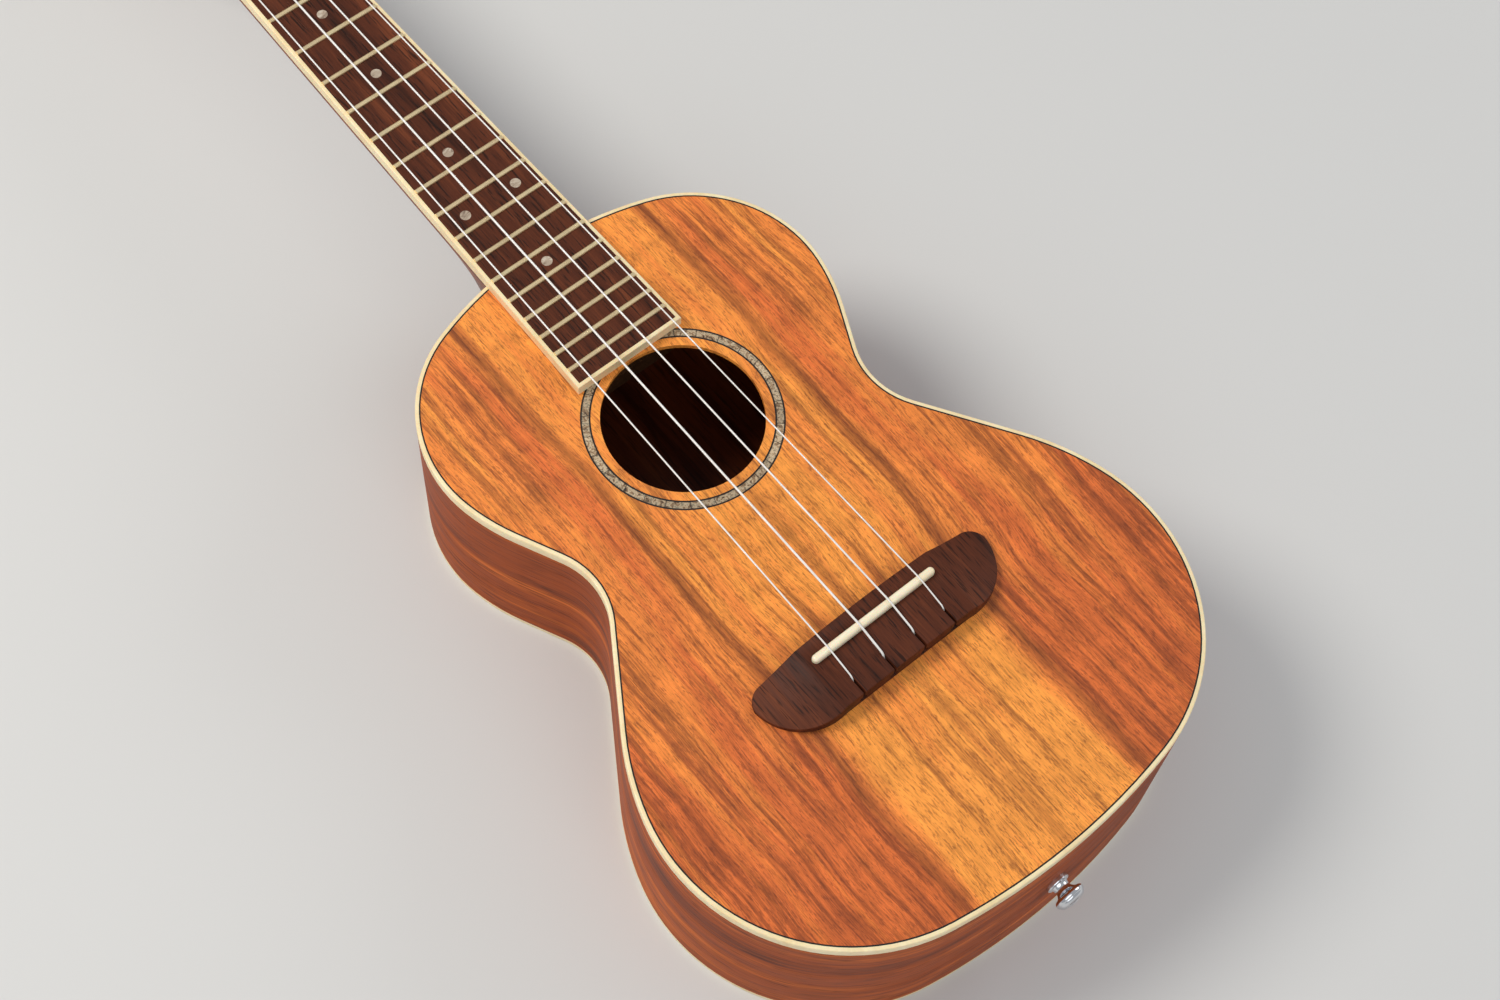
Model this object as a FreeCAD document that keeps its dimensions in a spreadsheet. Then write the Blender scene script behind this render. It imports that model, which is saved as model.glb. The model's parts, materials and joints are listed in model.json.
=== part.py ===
import FreeCAD
import Part

import math
import os

Vector = FreeCAD.Vector
Rotation = FreeCAD.Rotation
Placement = FreeCAD.Placement

# Tenor ukulele lying on its flat back.  Stations run along X from the nut's face
# (0) towards the tail, heights run along Z from the back's outer face (0), and the
# bass side is -Y.  Every sub-part is then placed so that the origin lies on the
# back's plane, under the middle of the whole instrument.
DIMENSIONS = {
    # overall layout
    "scale_length": 430,
    "nut_station": 206.33,
    "body_depth": 78,
    "body_start": 235.5,
    # body outline: turns in degrees and radii of its tangent arcs, neck to tail
    "neck_end_radius": 149.1,
    "neck_end_turn": 19,
    "shoulder_radius": 54.2,
    "shoulder_turn": 81.9,
    "upper_bout_radius": 84.9,
    "upper_bout_turn": 14.9,
    "waist_run_upper": 18.5,
    "waist_radius": 32.4,
    "waist_turn": 59.1,
    "waist_run_lower": 41.9,
    "flank_radius": 107.5,
    "flank_turn": 17.4,
    "lower_bout_radius": 74.8,
    "lower_bout_turn": 95,
    # body shell
    "soundboard_thick": 2,
    "back_thick": 2.2,
    "side_thick": 2,
    "binding_width": 1.5,
    "top_binding_tall": 5,
    "back_binding_tall": 2.4,
    "purfling_width": 0.6,
    "lining_width": 5,
    "lining_tall": 7,
    # sound hole and rosette
    "hole_station": 326,
    "hole_radius": 30.9,
    "rosette_inner": 34.35,
    "rosette_outer": 38.25,
    "rosette_line": 0.5,
    "rosette_deep": 0.8,
    # blocks and braces
    "neck_block_long": 24,
    "neck_block_wide": 54,
    "tail_block_long": 14,
    "tail_block_wide": 60,
    "tail_station": 537.9,
    "brace_wide": 7,
    "brace_tall": 9,
    "top_brace_upper": 284,
    "top_brace_lower": 366,
    "back_brace_upper": 262,
    "back_brace_middle": 376,
    "back_brace_lower": 462,
    "fan_brace_wide": 5,
    "fan_brace_tall": 6,
    "fan_brace_start": 380,
    "fan_brace_long": 128,
    "fan_brace_spread": 24,
    "fan_brace_angle": 8,
    "patch_thick": 1.6,
    "patch_long": 42,
    "patch_wide": 120,
    # fingerboard
    "board_thick": 5.3,
    "board_wide_nut": 36.5,
    "board_wide_gain": 18.3,
    "board_last_step": 20,
    "fret_count": 19,
    "fret_crown": 1.0,
    "fret_lift": 0.1,
    "fret_tang_thick": 0.5,
    "fret_tang_deep": 1.5,
    "fret_slot_thick": 0.6,
    "fret_slot_deep": 1.6,
    "dot_radius": 2.15,
    "dot_deep": 1.2,
    "double_dot_offset": 12,
    # nut, saddle and bridge
    "nut_thick": 5,
    "nut_tall": 8,
    "nut_string_spread": 30.5,
    "nut_slot_floor": 6.75,
    "nut_slot_wide": 1,
    "nut_bevel": 1,
    "saddle_station": 432.75,
    "saddle_long": 57,
    "saddle_thick": 3.2,
    "saddle_tall": 10.35,
    "saddle_slot_deep": 3.5,
    "saddle_string_spread": 43,
    "bridge_front": 425,
    "bridge_back": 453,
    "bridge_half": 54.5,
    "bridge_tall": 8,
    "bridge_tip_tall": 1.8,
    "bridge_flat_half": 31,
    "bridge_wing_hollow": 1.24,
    "bridge_bow": 1.5,
    "bridge_shoulder": 7.5,
    "bridge_shoulder_bulge": 2,
    "bridge_tip_behind": 8,
    "bridge_sweep_half": 29,
    "bridge_sweep_bulge": 7,
    "bridge_slit_start": 445.4,
    "bridge_slit_wide": 1,
    "bridge_slit_deep": 4.6,
    "knot_bore_radius": 1.7,
    "knot_bore_tall": 2.6,
    "knot_bore_start": 446,
    "knot_radius": 1.4,
    # strings
    "string_g_radius": 0.33,
    "string_c_radius": 0.45,
    "string_e_radius": 0.38,
    "string_a_radius": 0.3,
    # neck
    "shaft_deep_nut": 14,
    "shaft_knee_nut": 10,
    "shaft_round_nut": 2.75,
    "shaft_bow_nut": 1.1,
    "shaft_deep_heel": 16,
    "shaft_knee_heel": 12,
    "shaft_round_heel": 3.2,
    "shaft_bow_heel": 1.4,
    "shaft_brow": 1.5,
    "heel_start": 184,
    "heel_sweep_long": 41,
    "heel_sweep_deep": 56,
    "heel_sweep_turn": 84,
    "heel_knee_loss": 2.5,
    "heel_round_gain": 3,
    "heel_bow_loss": 1.2,
    "heel_foot_knee": 9.6,
    "heel_foot_round": 5.9,
    "heel_foot_bow": 0.3,
    "heel_deep": 62,
    "heel_cap_thick": 2,
    "dowel_radius": 4,
    "dowel_start": 225,
    "dowel_long": 33,
    "dowel_upper": 20,
    "dowel_lower": 44,
    # headstock
    "head_angle": 13,
    "head_thick": 12,
    "veneer_thick": 1,
    "head_flare_radius": 40,
    "head_flare_turn": 32,
    "head_shoulder_radius": 30,
    "head_shoulder_turn": 33.5,
    "head_edge_run": 84,
    "head_corner_radius": 10,
    "head_corner_turn": 66,
    "head_throat": 26,
    "head_throat_overlap": 4,
    "head_throat_flare": 8,
    "head_throat_round": 0.6,
    "head_throat_bow": 0.2,
    # tuning machines
    "tuner_near": 52,
    "tuner_far": 98,
    "tuner_offset": 16.5,
    "post_radius": 3,
    "post_rise": 14,
    "post_hole_radius": 0.9,
    "post_hole_rise": 11,
    "post_spigot_radius": 2,
    "post_rivet": 0.8,
    "post_bevel": 0.6,
    "running_gap": 0.05,
    "bushing_radius": 4.3,
    "bushing_flange_radius": 5.5,
    "bushing_flange_thick": 1.2,
    "bushing_deep": 7,
    "bushing_bevel": 0.4,
    "plate_long": 27,
    "plate_wide": 11.5,
    "plate_thick": 1.2,
    "plate_shift": 3,
    "plate_corner": 3,
    "screw_spacing": 21.5,
    "screw_radius": 1,
    "screw_head_radius": 2.1,
    "screw_head_tall": 1.3,
    "screw_long": 8,
    "ear_thick": 1.5,
    "ear_wide": 6,
    "ear_drop": 5.2,
    "ear_gap": 7.6,
    "gear_teeth": 14,
    "gear_pitch_radius": 4.2,
    "gear_tip_radius": 4.75,
    "gear_root_radius": 3.45,
    "gear_thick": 3.6,
    "gear_below_plate": 0.9,
    "tooth_thick": 0.64,
    "worm_pitch": 1.885,
    "worm_turns": 3,
    "worm_core_radius": 1.15,
    "worm_tip_radius": 2.5,
    "worm_to_gear": 6.1,
    "worm_shaft_inner": 6,
    "worm_shaft_outer": 18.5,
    "knob_start": 14.5,
    "knob_collar_radius": 2.6,
    "knob_collar_long": 3,
    "knob_long": 11,
    "knob_half_wide": 8,
    "knob_half_thick": 4.5,
    "knob_round": 1.7,
    "wrap_rise": 5.5,
    "wrap_tall": 3,
    "wrap_thick": 0.8,
    # strap button
    "button_rise": 39,
    "button_base_radius": 4.8,
    "button_base_long": 1.8,
    "button_waist_radius": 3.1,
    "button_head_radius": 6.25,
    "button_long": 10.5,
    "button_throat_rise": 2,
    "button_shoulder_rise": 4.2,
    "button_rim_rise": 5.4,
    "button_brow_rise": 6.8,
    "button_edge": 0.6,
    "button_screw_radius": 1.5,
    "button_screw_head": 2.9,
    "button_screw_long": 26,
    "button_drive_long": 4.4,
    "button_drive_wide": 0.8,
    "button_drive_deep": 0.9,
}

FRET_DOTS = (5, 7, 10, 15)
DOUBLE_DOT_FRET = 12
STRINGS = ("g", "c", "e", "a")
GAP = 0.1
HEEL_STEPS = 6
LEAD = 1
FLAT = 1e-6
TOOTH_ROOT = 1.5
TOOTH_TIP = 0.6
THREAD_ROOT = 1.7

doc = FreeCAD.newDocument("Ukulele")
sheet = doc.addObject("Spreadsheet::Sheet", "Dimensions")
for row, (alias, amount) in enumerate(DIMENSIONS.items(), start=1):
    sheet.set(f"A{row}", alias)
    sheet.set(f"B{row}", str(amount))
    sheet.setAlias(f"B{row}", alias)
doc.recompute()

parts = {}


def size(alias):
    """The sheet's value for an alias."""
    return float(sheet.get(alias))


def bind(item, **cells):
    """Binds properties to expressions of the sheet's aliases, written as {alias}."""
    for name, text in cells.items():
        item.setExpression(name.replace("__", "."), expand(text))
    return item


def expand(text):
    """Writes each {alias} in an expression as a reference to the sheet."""
    return text.replace("{", "Dimensions.").replace("}", "")


def keep(item, label):
    """Registers a finished sub-part under the name of its node."""
    item.Label = label
    parts[label] = item
    return item


def stand(item, x="0", y="0", z="0"):
    """Places a sub-part modelled from the nut, at a station and a height."""
    return bind(item, Placement__Base__x=f"{x} - {{nut_station}}",
                Placement__Base__y=y, Placement__Base__z=z)


# Outlines ---------------------------------------------------------------------


def walk(start, heading, moves, offset=0.0):
    """Follows tangent arcs and straight runs, shifted sideways to the left by offset.

    Each move is (radius, turn in degrees), or (0, length) for a straight run.
    A positive turn is to the left.  Returns the edges, the end and its heading.
    """
    angle = math.radians(heading)
    point = start + Vector(-math.sin(angle), math.cos(angle)) * offset
    edges = []
    for radius, amount in moves:
        if radius == 0:
            finish = point + Vector(math.cos(angle), math.sin(angle)) * amount
            edges.append(Part.LineSegment(point, finish))
        else:
            hand = math.copysign(1, amount)
            reach = (radius - hand * offset) * hand
            turn = math.radians(amount)
            centre = point + Vector(-math.sin(angle), math.cos(angle)) * reach
            middle = centre + Vector(math.sin(angle + turn / 2), -math.cos(angle + turn / 2)) * reach
            finish = centre + Vector(math.sin(angle + turn), -math.cos(angle + turn)) * reach
            edges.append(Part.Arc(point, middle, finish))
            angle += turn
        point = finish
    return edges, point, angle


def bowed(first, last, bulge):
    """The arc between two points that stands off its chord, to the left, by bulge."""
    chord = last - first
    left = Vector(-chord.y, chord.x).normalize()
    return Part.Arc(first, (first + last) / 2 + left * bulge, last)


def backwards(edges, hand_x=1, hand_y=1):
    """The edges run the other way, scaled by a hand of 1 or -1 along X and Y."""
    turned = []
    for edge in reversed(edges):
        first, last = edge.FirstParameter, edge.LastParameter
        points = [edge.value(at) for at in (last, (first + last) / 2, first)]
        points = [Vector(p.x * hand_x, p.y * hand_y) for p in points]
        if isinstance(edge, Part.LineSegment):
            turned.append(Part.LineSegment(points[0], points[2]))
        else:
            turned.append(Part.Arc(*points))
    return turned


def mirrored(edges):
    """The mirror image of edges across Y = 0, in reverse order."""
    return backwards(edges, hand_y=-1)


def body_half(offset=0.0):
    """Edges of the body outline's +Y half, neck end to tail, moved outwards by offset."""
    moves = (
        (size("neck_end_radius"), -size("neck_end_turn")),
        (size("shoulder_radius"), -size("shoulder_turn")),
        (size("upper_bout_radius"), -size("upper_bout_turn")),
        (0, size("waist_run_upper")),
        (size("waist_radius"), size("waist_turn")),
        (0, size("waist_run_lower")),
        (size("flank_radius"), -size("flank_turn")),
        (size("lower_bout_radius"), -size("lower_bout_turn")),
    )
    edges, point, angle = walk(Vector(size("body_start"), 0), 90, moves, offset)
    normal = Vector(-math.sin(angle), math.cos(angle))
    radius = point.y / normal.y
    centre = point - normal * radius
    half_turn = math.atan2(point.y, point.x - centre.x)
    middle = centre + Vector(math.cos(half_turn / 2), math.sin(half_turn / 2)) * radius
    edges.append(Part.Arc(point, middle, centre + Vector(radius, 0)))
    return edges


def body_loop(offset=0.0):
    """The whole body outline, closed, moved outwards by offset."""
    half = body_half(offset)
    return half + mirrored(half)


def start_of(edge):
    return edge.value(edge.FirstParameter)


def end_of(edge):
    return edge.value(edge.LastParameter)


def circle(x, y, radius):
    return Part.Circle(Vector(x, y), Vector(0, 0, 1), radius)


def polygon(points):
    """Closed straight-sided loop through points given as (x, y)."""
    corners = [Vector(x, y) for x, y in points]
    return [Part.LineSegment(a, b) for a, b in zip(corners, corners[1:] + corners[:1])]


def rectangle(x0, y0, x1, y1):
    return polygon(((x0, y0), (x1, y0), (x1, y1), (x0, y1)))


def stadium(x, y, half_x, half_y):
    """Slot outline along Y with round ends, centred at (x, y)."""
    run = half_y - half_x
    corner = Vector(x + half_x, y - run), Vector(x + half_x, y + run)
    other = Vector(x - half_x, y + run), Vector(x - half_x, y - run)
    return [
        Part.LineSegment(*corner),
        Part.Arc(corner[1], Vector(x, y + half_y), other[0]),
        Part.LineSegment(*other),
        Part.Arc(other[1], Vector(x, y - half_y), corner[0]),
    ]


# PartDesign helpers -------------------------------------------------------------


def new_body(label):
    return keep(doc.addObject("PartDesign::Body", label), label)


def plane_of(body, role):
    return next(item for item in body.Origin.OriginFeatures if item.Role == role)


def sketch_on(body, edges, role="XY_Plane", lift="0"):
    """A sketch of the edges on one of the body's planes, lifted along its normal."""
    sketch = body.newObject("Sketcher::SketchObject", f"{body.Label}_sketch")
    sketch.AttachmentSupport = (plane_of(body, role), [""])
    sketch.MapMode = "FlatFace"
    sketch.addGeometry(list(edges), False)
    return bind(sketch, AttachmentOffset__Base__z=lift)


def pad(body, edges, length, role="XY_Plane", lift="0", both_ways=False):
    sketch = sketch_on(body, edges, role, lift)
    feature = body.newObject("PartDesign::Pad", f"{body.Label}_pad")
    feature.Profile = sketch
    feature.Midplane = both_ways
    bind(feature, Length=length)
    doc.recompute()
    return feature


def pocket(body, edges, depth, role="XY_Plane", lift="0", both_ways=False):
    """Cuts edges to a depth along the plane's negative normal; the volume must drop."""
    before = body.Shape.Volume
    sketch = sketch_on(body, edges, role, lift)
    feature = body.newObject("PartDesign::Pocket", f"{body.Label}_pocket")
    feature.Profile = sketch
    feature.Midplane = both_ways
    bind(feature, Length=depth)
    doc.recompute()
    if body.Shape.Volume > before - FLAT:
        raise RuntimeError(f"a pocket of {body.Label} cut nothing")
    return feature


def level_edges(body, *heights):
    """Names of the body's edges that lie flat at one of the heights."""
    names = []
    for index, edge in enumerate(body.Shape.Edges, start=1):
        box = edge.BoundBox
        if box.ZLength < FLAT and min(abs(box.ZMin - height) for height in heights) < FLAT:
            names.append(f"Edge{index}")
    return names


def fillet(body, names, radius):
    """Rounds the named edges of the body's last feature."""
    base = body.Tip
    feature = body.newObject("PartDesign::Fillet", f"{body.Label}_fillet")
    feature.Base = (base, names)
    bind(feature, Radius=radius)
    doc.recompute()
    return feature


def revolve(body, edges, role="XZ_Plane", axis="Z_Axis"):
    sketch = sketch_on(body, edges, role)
    feature = body.newObject("PartDesign::Revolution", f"{body.Label}_revolution")
    feature.Profile = sketch
    feature.ReferenceAxis = (plane_of(body, axis), [""])
    feature.Angle = 360
    doc.recompute()
    return feature


def flat_piece(label, edges, thickness, height):
    """A plate or ring cut from sheet stock, lying flat at a height."""
    body = new_body(label)
    pad(body, edges, thickness)
    return stand(body, z=height)


# Part helpers -------------------------------------------------------------------


def block(name, length, width, height, x="0", y="0", z="0"):
    """A box of the given sizes, centred on Y, from station x and height z."""
    item = bind(doc.addObject("Part::Box", name), Length=length, Width=width, Height=height)
    return stand(item, x, f"{y} - ({width}) / 2", z)


def rod(name, first, last, radius):
    """A round bar between two points, its radius bound to the sheet."""
    item = bind(doc.addObject("Part::Cylinder", name), Radius=radius)
    item.Height = (last - first).Length
    item.Placement = Placement(first, Rotation(Vector(0, 0, 1), last - first))
    return item


def cut(name, base, *tools):
    for index, tool in enumerate(tools):
        item = doc.addObject("Part::Cut", f"{name}_cut{index}")
        item.Base = base
        item.Tool = tool
        base = item
    doc.recompute()
    return base


def common(name, first, second):
    item = doc.addObject("Part::Common", name)
    item.Base = first
    item.Tool = second
    doc.recompute()
    return item


def fuse(name, items):
    item = doc.addObject("Part::MultiFuse", name)
    item.Shapes = list(items)
    doc.recompute()
    return item


def group(name, items):
    """Separate solids that share one node."""
    item = doc.addObject("Part::Compound", name)
    item.Links = list(items)
    doc.recompute()
    return item


def prism(name, edges, height, lift):
    """A helper solid of an outline, from a height upwards."""
    sketch = doc.addObject("Sketcher::SketchObject", f"{name}_sketch")
    sketch.addGeometry(list(edges), False)
    item = doc.addObject("Part::Extrusion", name)
    item.Base = sketch
    item.DirMode = "Normal"
    item.Solid = True
    bind(item, LengthFwd=height)
    return stand(item, z=lift)


# Body ---------------------------------------------------------------------------

TOP = "{body_depth}"
UNDER_TOP = "{body_depth} - {soundboard_thick}"
INSIDE_TALL = "{body_depth} - {soundboard_thick} - {back_thick}"


def make_soundboard():
    board = new_body("soundboard")
    hole_x = size("hole_station")
    edges = body_loop(-size("purfling_width")) + [circle(hole_x, 0, size("hole_radius"))]
    pad(board, edges, "{soundboard_thick}")
    channel = [circle(hole_x, 0, size("rosette_inner")), circle(hole_x, 0, size("rosette_outer"))]
    pocket(board, channel, "{rosette_deep}", lift="{soundboard_thick}")
    stand(board, z=UNDER_TOP)


def make_rosette():
    inner, outer, line = (size(n) for n in ("rosette_inner", "rosette_outer", "rosette_line"))
    hole_x = size("hole_station")
    height = "{body_depth} - {rosette_deep}"
    edges = [circle(hole_x, 0, inner + line), circle(hole_x, 0, outer - line)]
    flat_piece("rosette_inlay", edges, "{rosette_deep}", height)
    rings = []
    for name, large, small in (("inner", "{rosette_inner} + {rosette_line}", "{rosette_inner}"),
                               ("outer", "{rosette_outer}", "{rosette_outer} - {rosette_line}")):
        discs = []
        for place, radius in (("rim", large), ("core", small)):
            disc = doc.addObject("Part::Cylinder", f"rosette_{name}_{place}")
            bind(disc, Radius=radius, Height="{rosette_deep}")
            discs.append(stand(disc, x="{hole_station}", z=height))
        rings.append(cut(f"rosette_{name}", *discs))
    keep(group("rosette_lines", rings), "rosette_lines")


def make_bindings():
    width = size("binding_width")
    flat_piece("top_purfling", body_loop() + body_loop(-size("purfling_width")),
               "{soundboard_thick}", UNDER_TOP)
    flat_piece("top_binding", body_loop(width) + body_loop(),
               "{top_binding_tall}", "{body_depth} - {top_binding_tall}")
    flat_piece("back_plate", body_loop(), "{back_thick}", "0")
    flat_piece("back_binding", body_loop(width) + body_loop(), "{back_binding_tall}", "0")


def half_ring(outer, inner):
    """Closed outline of one bent side between two offsets, split on the centreline."""
    outside, inside = body_half(outer), body_half(inner)
    tail = Part.LineSegment(end_of(outside[-1]), end_of(inside[-1]))
    neck = Part.LineSegment(start_of(inside[0]), start_of(outside[0]))
    return outside + [tail] + backwards(inside) + [neck]


def make_sides(holes):
    """Two bent sides, thinned above and below where the bindings are let in."""
    outer = size("binding_width")
    inner = outer - size("side_thick")
    wall = half_ring(outer, inner)
    tongue = half_ring(0, inner)
    panels = {"treble_side": (tongue, wall), "bass_side": (mirrored(tongue), mirrored(wall))}
    for label, (thin, full) in panels.items():
        body = doc.addObject("PartDesign::Body", f"{label}_panel")
        pad(body, thin, INSIDE_TALL)
        pad(body, full, "{body_depth} - {top_binding_tall} - {back_binding_tall}",
            lift="{back_binding_tall} - {back_thick}")
        stand(body, z="{back_thick}")
        keep(cut(label, body, *holes), label)


def make_blocks_and_linings(holes):
    """End blocks, and linings that run between them along the top and back edges."""
    inner = size("binding_width") - size("side_thick")
    room = prism("inside_room", body_loop(inner), INSIDE_TALL, "{back_thick}")
    neck_end = block("neck_block_stock", "{neck_block_long}", "{neck_block_wide}", INSIDE_TALL,
                     x=f"{{body_start}} - {LEAD}", z="{back_thick}")
    tail_end = block("tail_block_stock", "{tail_block_long}", "{tail_block_wide}", INSIDE_TALL,
                     x=f"{{tail_station}} + {LEAD} - {{tail_block_long}}", z="{back_thick}")
    keep(cut("neck_block", common("neck_block_fitted", room, neck_end), *holes), "neck_block")
    keep(cut("tail_block", common("tail_block_fitted", room, tail_end), *holes), "tail_block")
    for label, height in (("back_linings", "{back_thick}"),
                          ("top_linings", "{body_depth} - {soundboard_thick} - {lining_tall}")):
        edges = body_loop(inner) + body_loop(inner - size("lining_width"))
        ring = prism(f"{label}_ring", edges, "{lining_tall}", height)
        keep(cut(label, ring, neck_end, tail_end), label)


def make_braces():
    """Bars glued across the top and back, and a fan of light bars behind the bridge patch."""
    inner = size("binding_width") - size("side_thick") - size("lining_width") - LEAD
    room = prism("brace_room", body_loop(inner), INSIDE_TALL, "{back_thick}")
    wide = "{lower_bout_radius} * 3"
    top_z = "{body_depth} - {soundboard_thick} - {brace_tall}"
    for label, names, height in (
            ("top_cross_braces", ("top_brace_upper", "top_brace_lower"), top_z),
            ("back_braces", ("back_brace_upper", "back_brace_middle", "back_brace_lower"),
             "{back_thick}")):
        bars = []
        for name in names:
            bar = block(name, "{brace_wide}", wide, "{brace_tall}", x=f"{{{name}}}", z=height)
            bars.append(common(f"{name}_fitted", room, bar))
        keep(group(label, bars), label)
    patch = block("bridge_patch", "{patch_long}", "{patch_wide}", "{patch_thick}",
                  x="({bridge_front} + {bridge_back} - {patch_long}) / 2",
                  z="{body_depth} - {soundboard_thick} - {patch_thick}")
    keep(patch, "bridge_patch")
    fans = []
    for index in (-1, 0, 1):
        bar = doc.addObject("Part::Box", f"fan_brace_bar{index + 1}")
        bind(bar, Length="{fan_brace_long}", Width="{fan_brace_wide}", Height="{fan_brace_tall}")
        bar.Placement.Rotation = Rotation(Vector(0, 0, 1), index * size("fan_brace_angle"))
        stand(bar, x="{fan_brace_start}", y=f"{index} * {{fan_brace_spread}} - {{fan_brace_wide}} / 2",
              z="{body_depth} - {soundboard_thick} - {fan_brace_tall}")
        fans.append(cut(f"fan_brace{index + 1}", bar, patch))
    keep(group("fan_braces", fans), "fan_braces")


# Fingerboard ----------------------------------------------------------------------


def station_of(fret):
    """Distance from the nut to an equal-tempered fret."""
    return size("scale_length") * (1 - 2 ** (-fret / 12))


def board_half(station):
    """Half the fingerboard's full width at a station."""
    return (size("board_wide_nut") + size("board_wide_gain") * station / size("scale_length")) / 2


def make_fingerboard():
    edge = size("binding_width")
    end = station_of(size("board_last_step"))
    frets = [station_of(n) for n in range(1, int(size("fret_count")) + 1)]
    board = new_body("fingerboard")
    near, far = board_half(0) - edge, board_half(end - edge) - edge
    core = ((0, -near), (end - edge, -far), (end - edge, far), (0, near))
    pad(board, polygon(core), "{board_thick}")
    half_slot = size("fret_slot_thick") / 2
    slots = []
    for at in frets:
        reach = board_half(at) + LEAD
        slots += rectangle(at - half_slot, -reach, at + half_slot, reach)
    pocket(board, slots, "{fret_slot_deep}", lift="{board_thick}")
    middles = [((station_of(n) + station_of(n - 1)) / 2, 0) for n in FRET_DOTS]
    twelfth = (station_of(DOUBLE_DOT_FRET) + station_of(DOUBLE_DOT_FRET - 1)) / 2
    middles += [(twelfth, hand * size("double_dot_offset")) for hand in (-1, 1)]
    pocket(board, [circle(x, y, size("dot_radius")) for x, y in middles], "{dot_deep}",
           lift="{board_thick}")
    stand(board, z=TOP)
    dots = []
    for index, (x, y) in enumerate(middles):
        dot = doc.addObject("Part::Cylinder", f"dot{index}")
        bind(dot, Radius="{dot_radius}", Height="{dot_deep}")
        dots.append(stand(dot, x=str(x), y=str(y), z="{body_depth} + {board_thick} - {dot_deep}"))
    keep(group("position_dots", dots), "position_dots")
    make_board_binding(core, end)
    make_frets(frets)


def make_board_binding(core, end):
    """One strip along each edge and across the end, mitred at the corners."""
    outer = ((0, -board_half(0)), (end, -board_half(end)), (end, board_half(end)), (0, board_half(0)))
    loop = outer + tuple(reversed(core))
    flat_piece("fingerboard_binding", polygon(loop), "{board_thick}", TOP)


def make_frets(stations):
    """Fret wires: a half-round crown with a tang, cut flush inside the binding."""
    wires = []
    for index, at in enumerate(stations):
        half = board_half(at) - size("binding_width") - GAP / 2
        crown = doc.addObject("Part::Cylinder", f"fret{index}_crown")
        bind(crown, Radius="{fret_crown}")
        crown.Height = 2 * half
        crown.Angle = 180
        crown.Placement.Rotation = Rotation(Vector(1, 0, 0), Vector(0, 0, 1), Vector(0, -1, 0))
        stand(crown, x=str(at), y=str(half), z="{body_depth} + {board_thick} + {fret_lift}")
        tang = block(f"fret{index}_tang", "{fret_tang_thick}", str(2 * half),
                     f"{{fret_tang_deep}} + {{fret_lift}} + {GAP}",
                     x=f"{at} - {{fret_tang_thick}} / 2",
                     z="{body_depth} + {board_thick} - {fret_tang_deep}")
        bead = block(f"fret{index}_bead", "2 * {fret_crown}", str(2 * half), "{fret_lift}",
                     x=f"{at} - {{fret_crown}}", z="{body_depth} + {board_thick}")
        wires.append(fuse(f"fret{index}", (crown, tang, bead)))
    keep(group("frets", wires), "frets")


# Nut, bridge, saddle and strap button ------------------------------------------------


def string_y(index, spread):
    """Sideways place of a string, 0 (bass edge) to 3 (treble edge), in a spread."""
    return size(spread) * (index / 3 - 0.5)


def make_nut():
    """Nut blank with bevelled corners and a round-bottomed slot for each string."""
    half, tall, floor = board_half(0), size("nut_tall"), size("nut_slot_floor")
    bevel, slot = size("nut_bevel"), size("nut_slot_wide") / 2
    edges = []
    point = Vector(half - bevel, tall)
    for index in (3, 2, 1, 0):
        y = string_y(index, "nut_string_spread")
        brink, wall = Vector(y + slot, tall), Vector(y + slot, floor + slot)
        far_wall, far_brink = Vector(y - slot, floor + slot), Vector(y - slot, tall)
        edges += [Part.LineSegment(point, brink), Part.LineSegment(brink, wall),
                  Part.Arc(wall, Vector(y, floor), far_wall), Part.LineSegment(far_wall, far_brink)]
        point = far_brink
    corners = [point, Vector(bevel - half, tall), Vector(-half, tall - bevel), Vector(-half, 0),
               Vector(half, 0), Vector(half, tall - bevel), Vector(half - bevel, tall)]
    edges += [Part.LineSegment(a, b) for a, b in zip(corners, corners[1:])]
    body = new_body("nut")
    pad(body, edges, "{nut_thick}", role="YZ_Plane")
    stand(body, x="-{nut_thick}", z=TOP)


def bridge_outline():
    """Belly-less bridge: a shallow bowed front, round wing tips and a swept back edge."""
    front, back, half = size("bridge_front"), size("bridge_back"), size("bridge_half")
    shoulder = Vector(front + size("bridge_bow"), half - size("bridge_shoulder"))
    tip = Vector(front + size("bridge_tip_behind"), half)
    sweep = Vector(back, size("bridge_sweep_half"))
    side = [
        bowed(shoulder, tip, size("bridge_shoulder_bulge")),
        bowed(tip, sweep, size("bridge_sweep_bulge")),
        Part.LineSegment(sweep, Vector(back, 0)),
    ]
    bow = bowed(Vector(shoulder.x, -shoulder.y), shoulder, size("bridge_bow"))
    return [bow] + side + mirrored(side)


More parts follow.
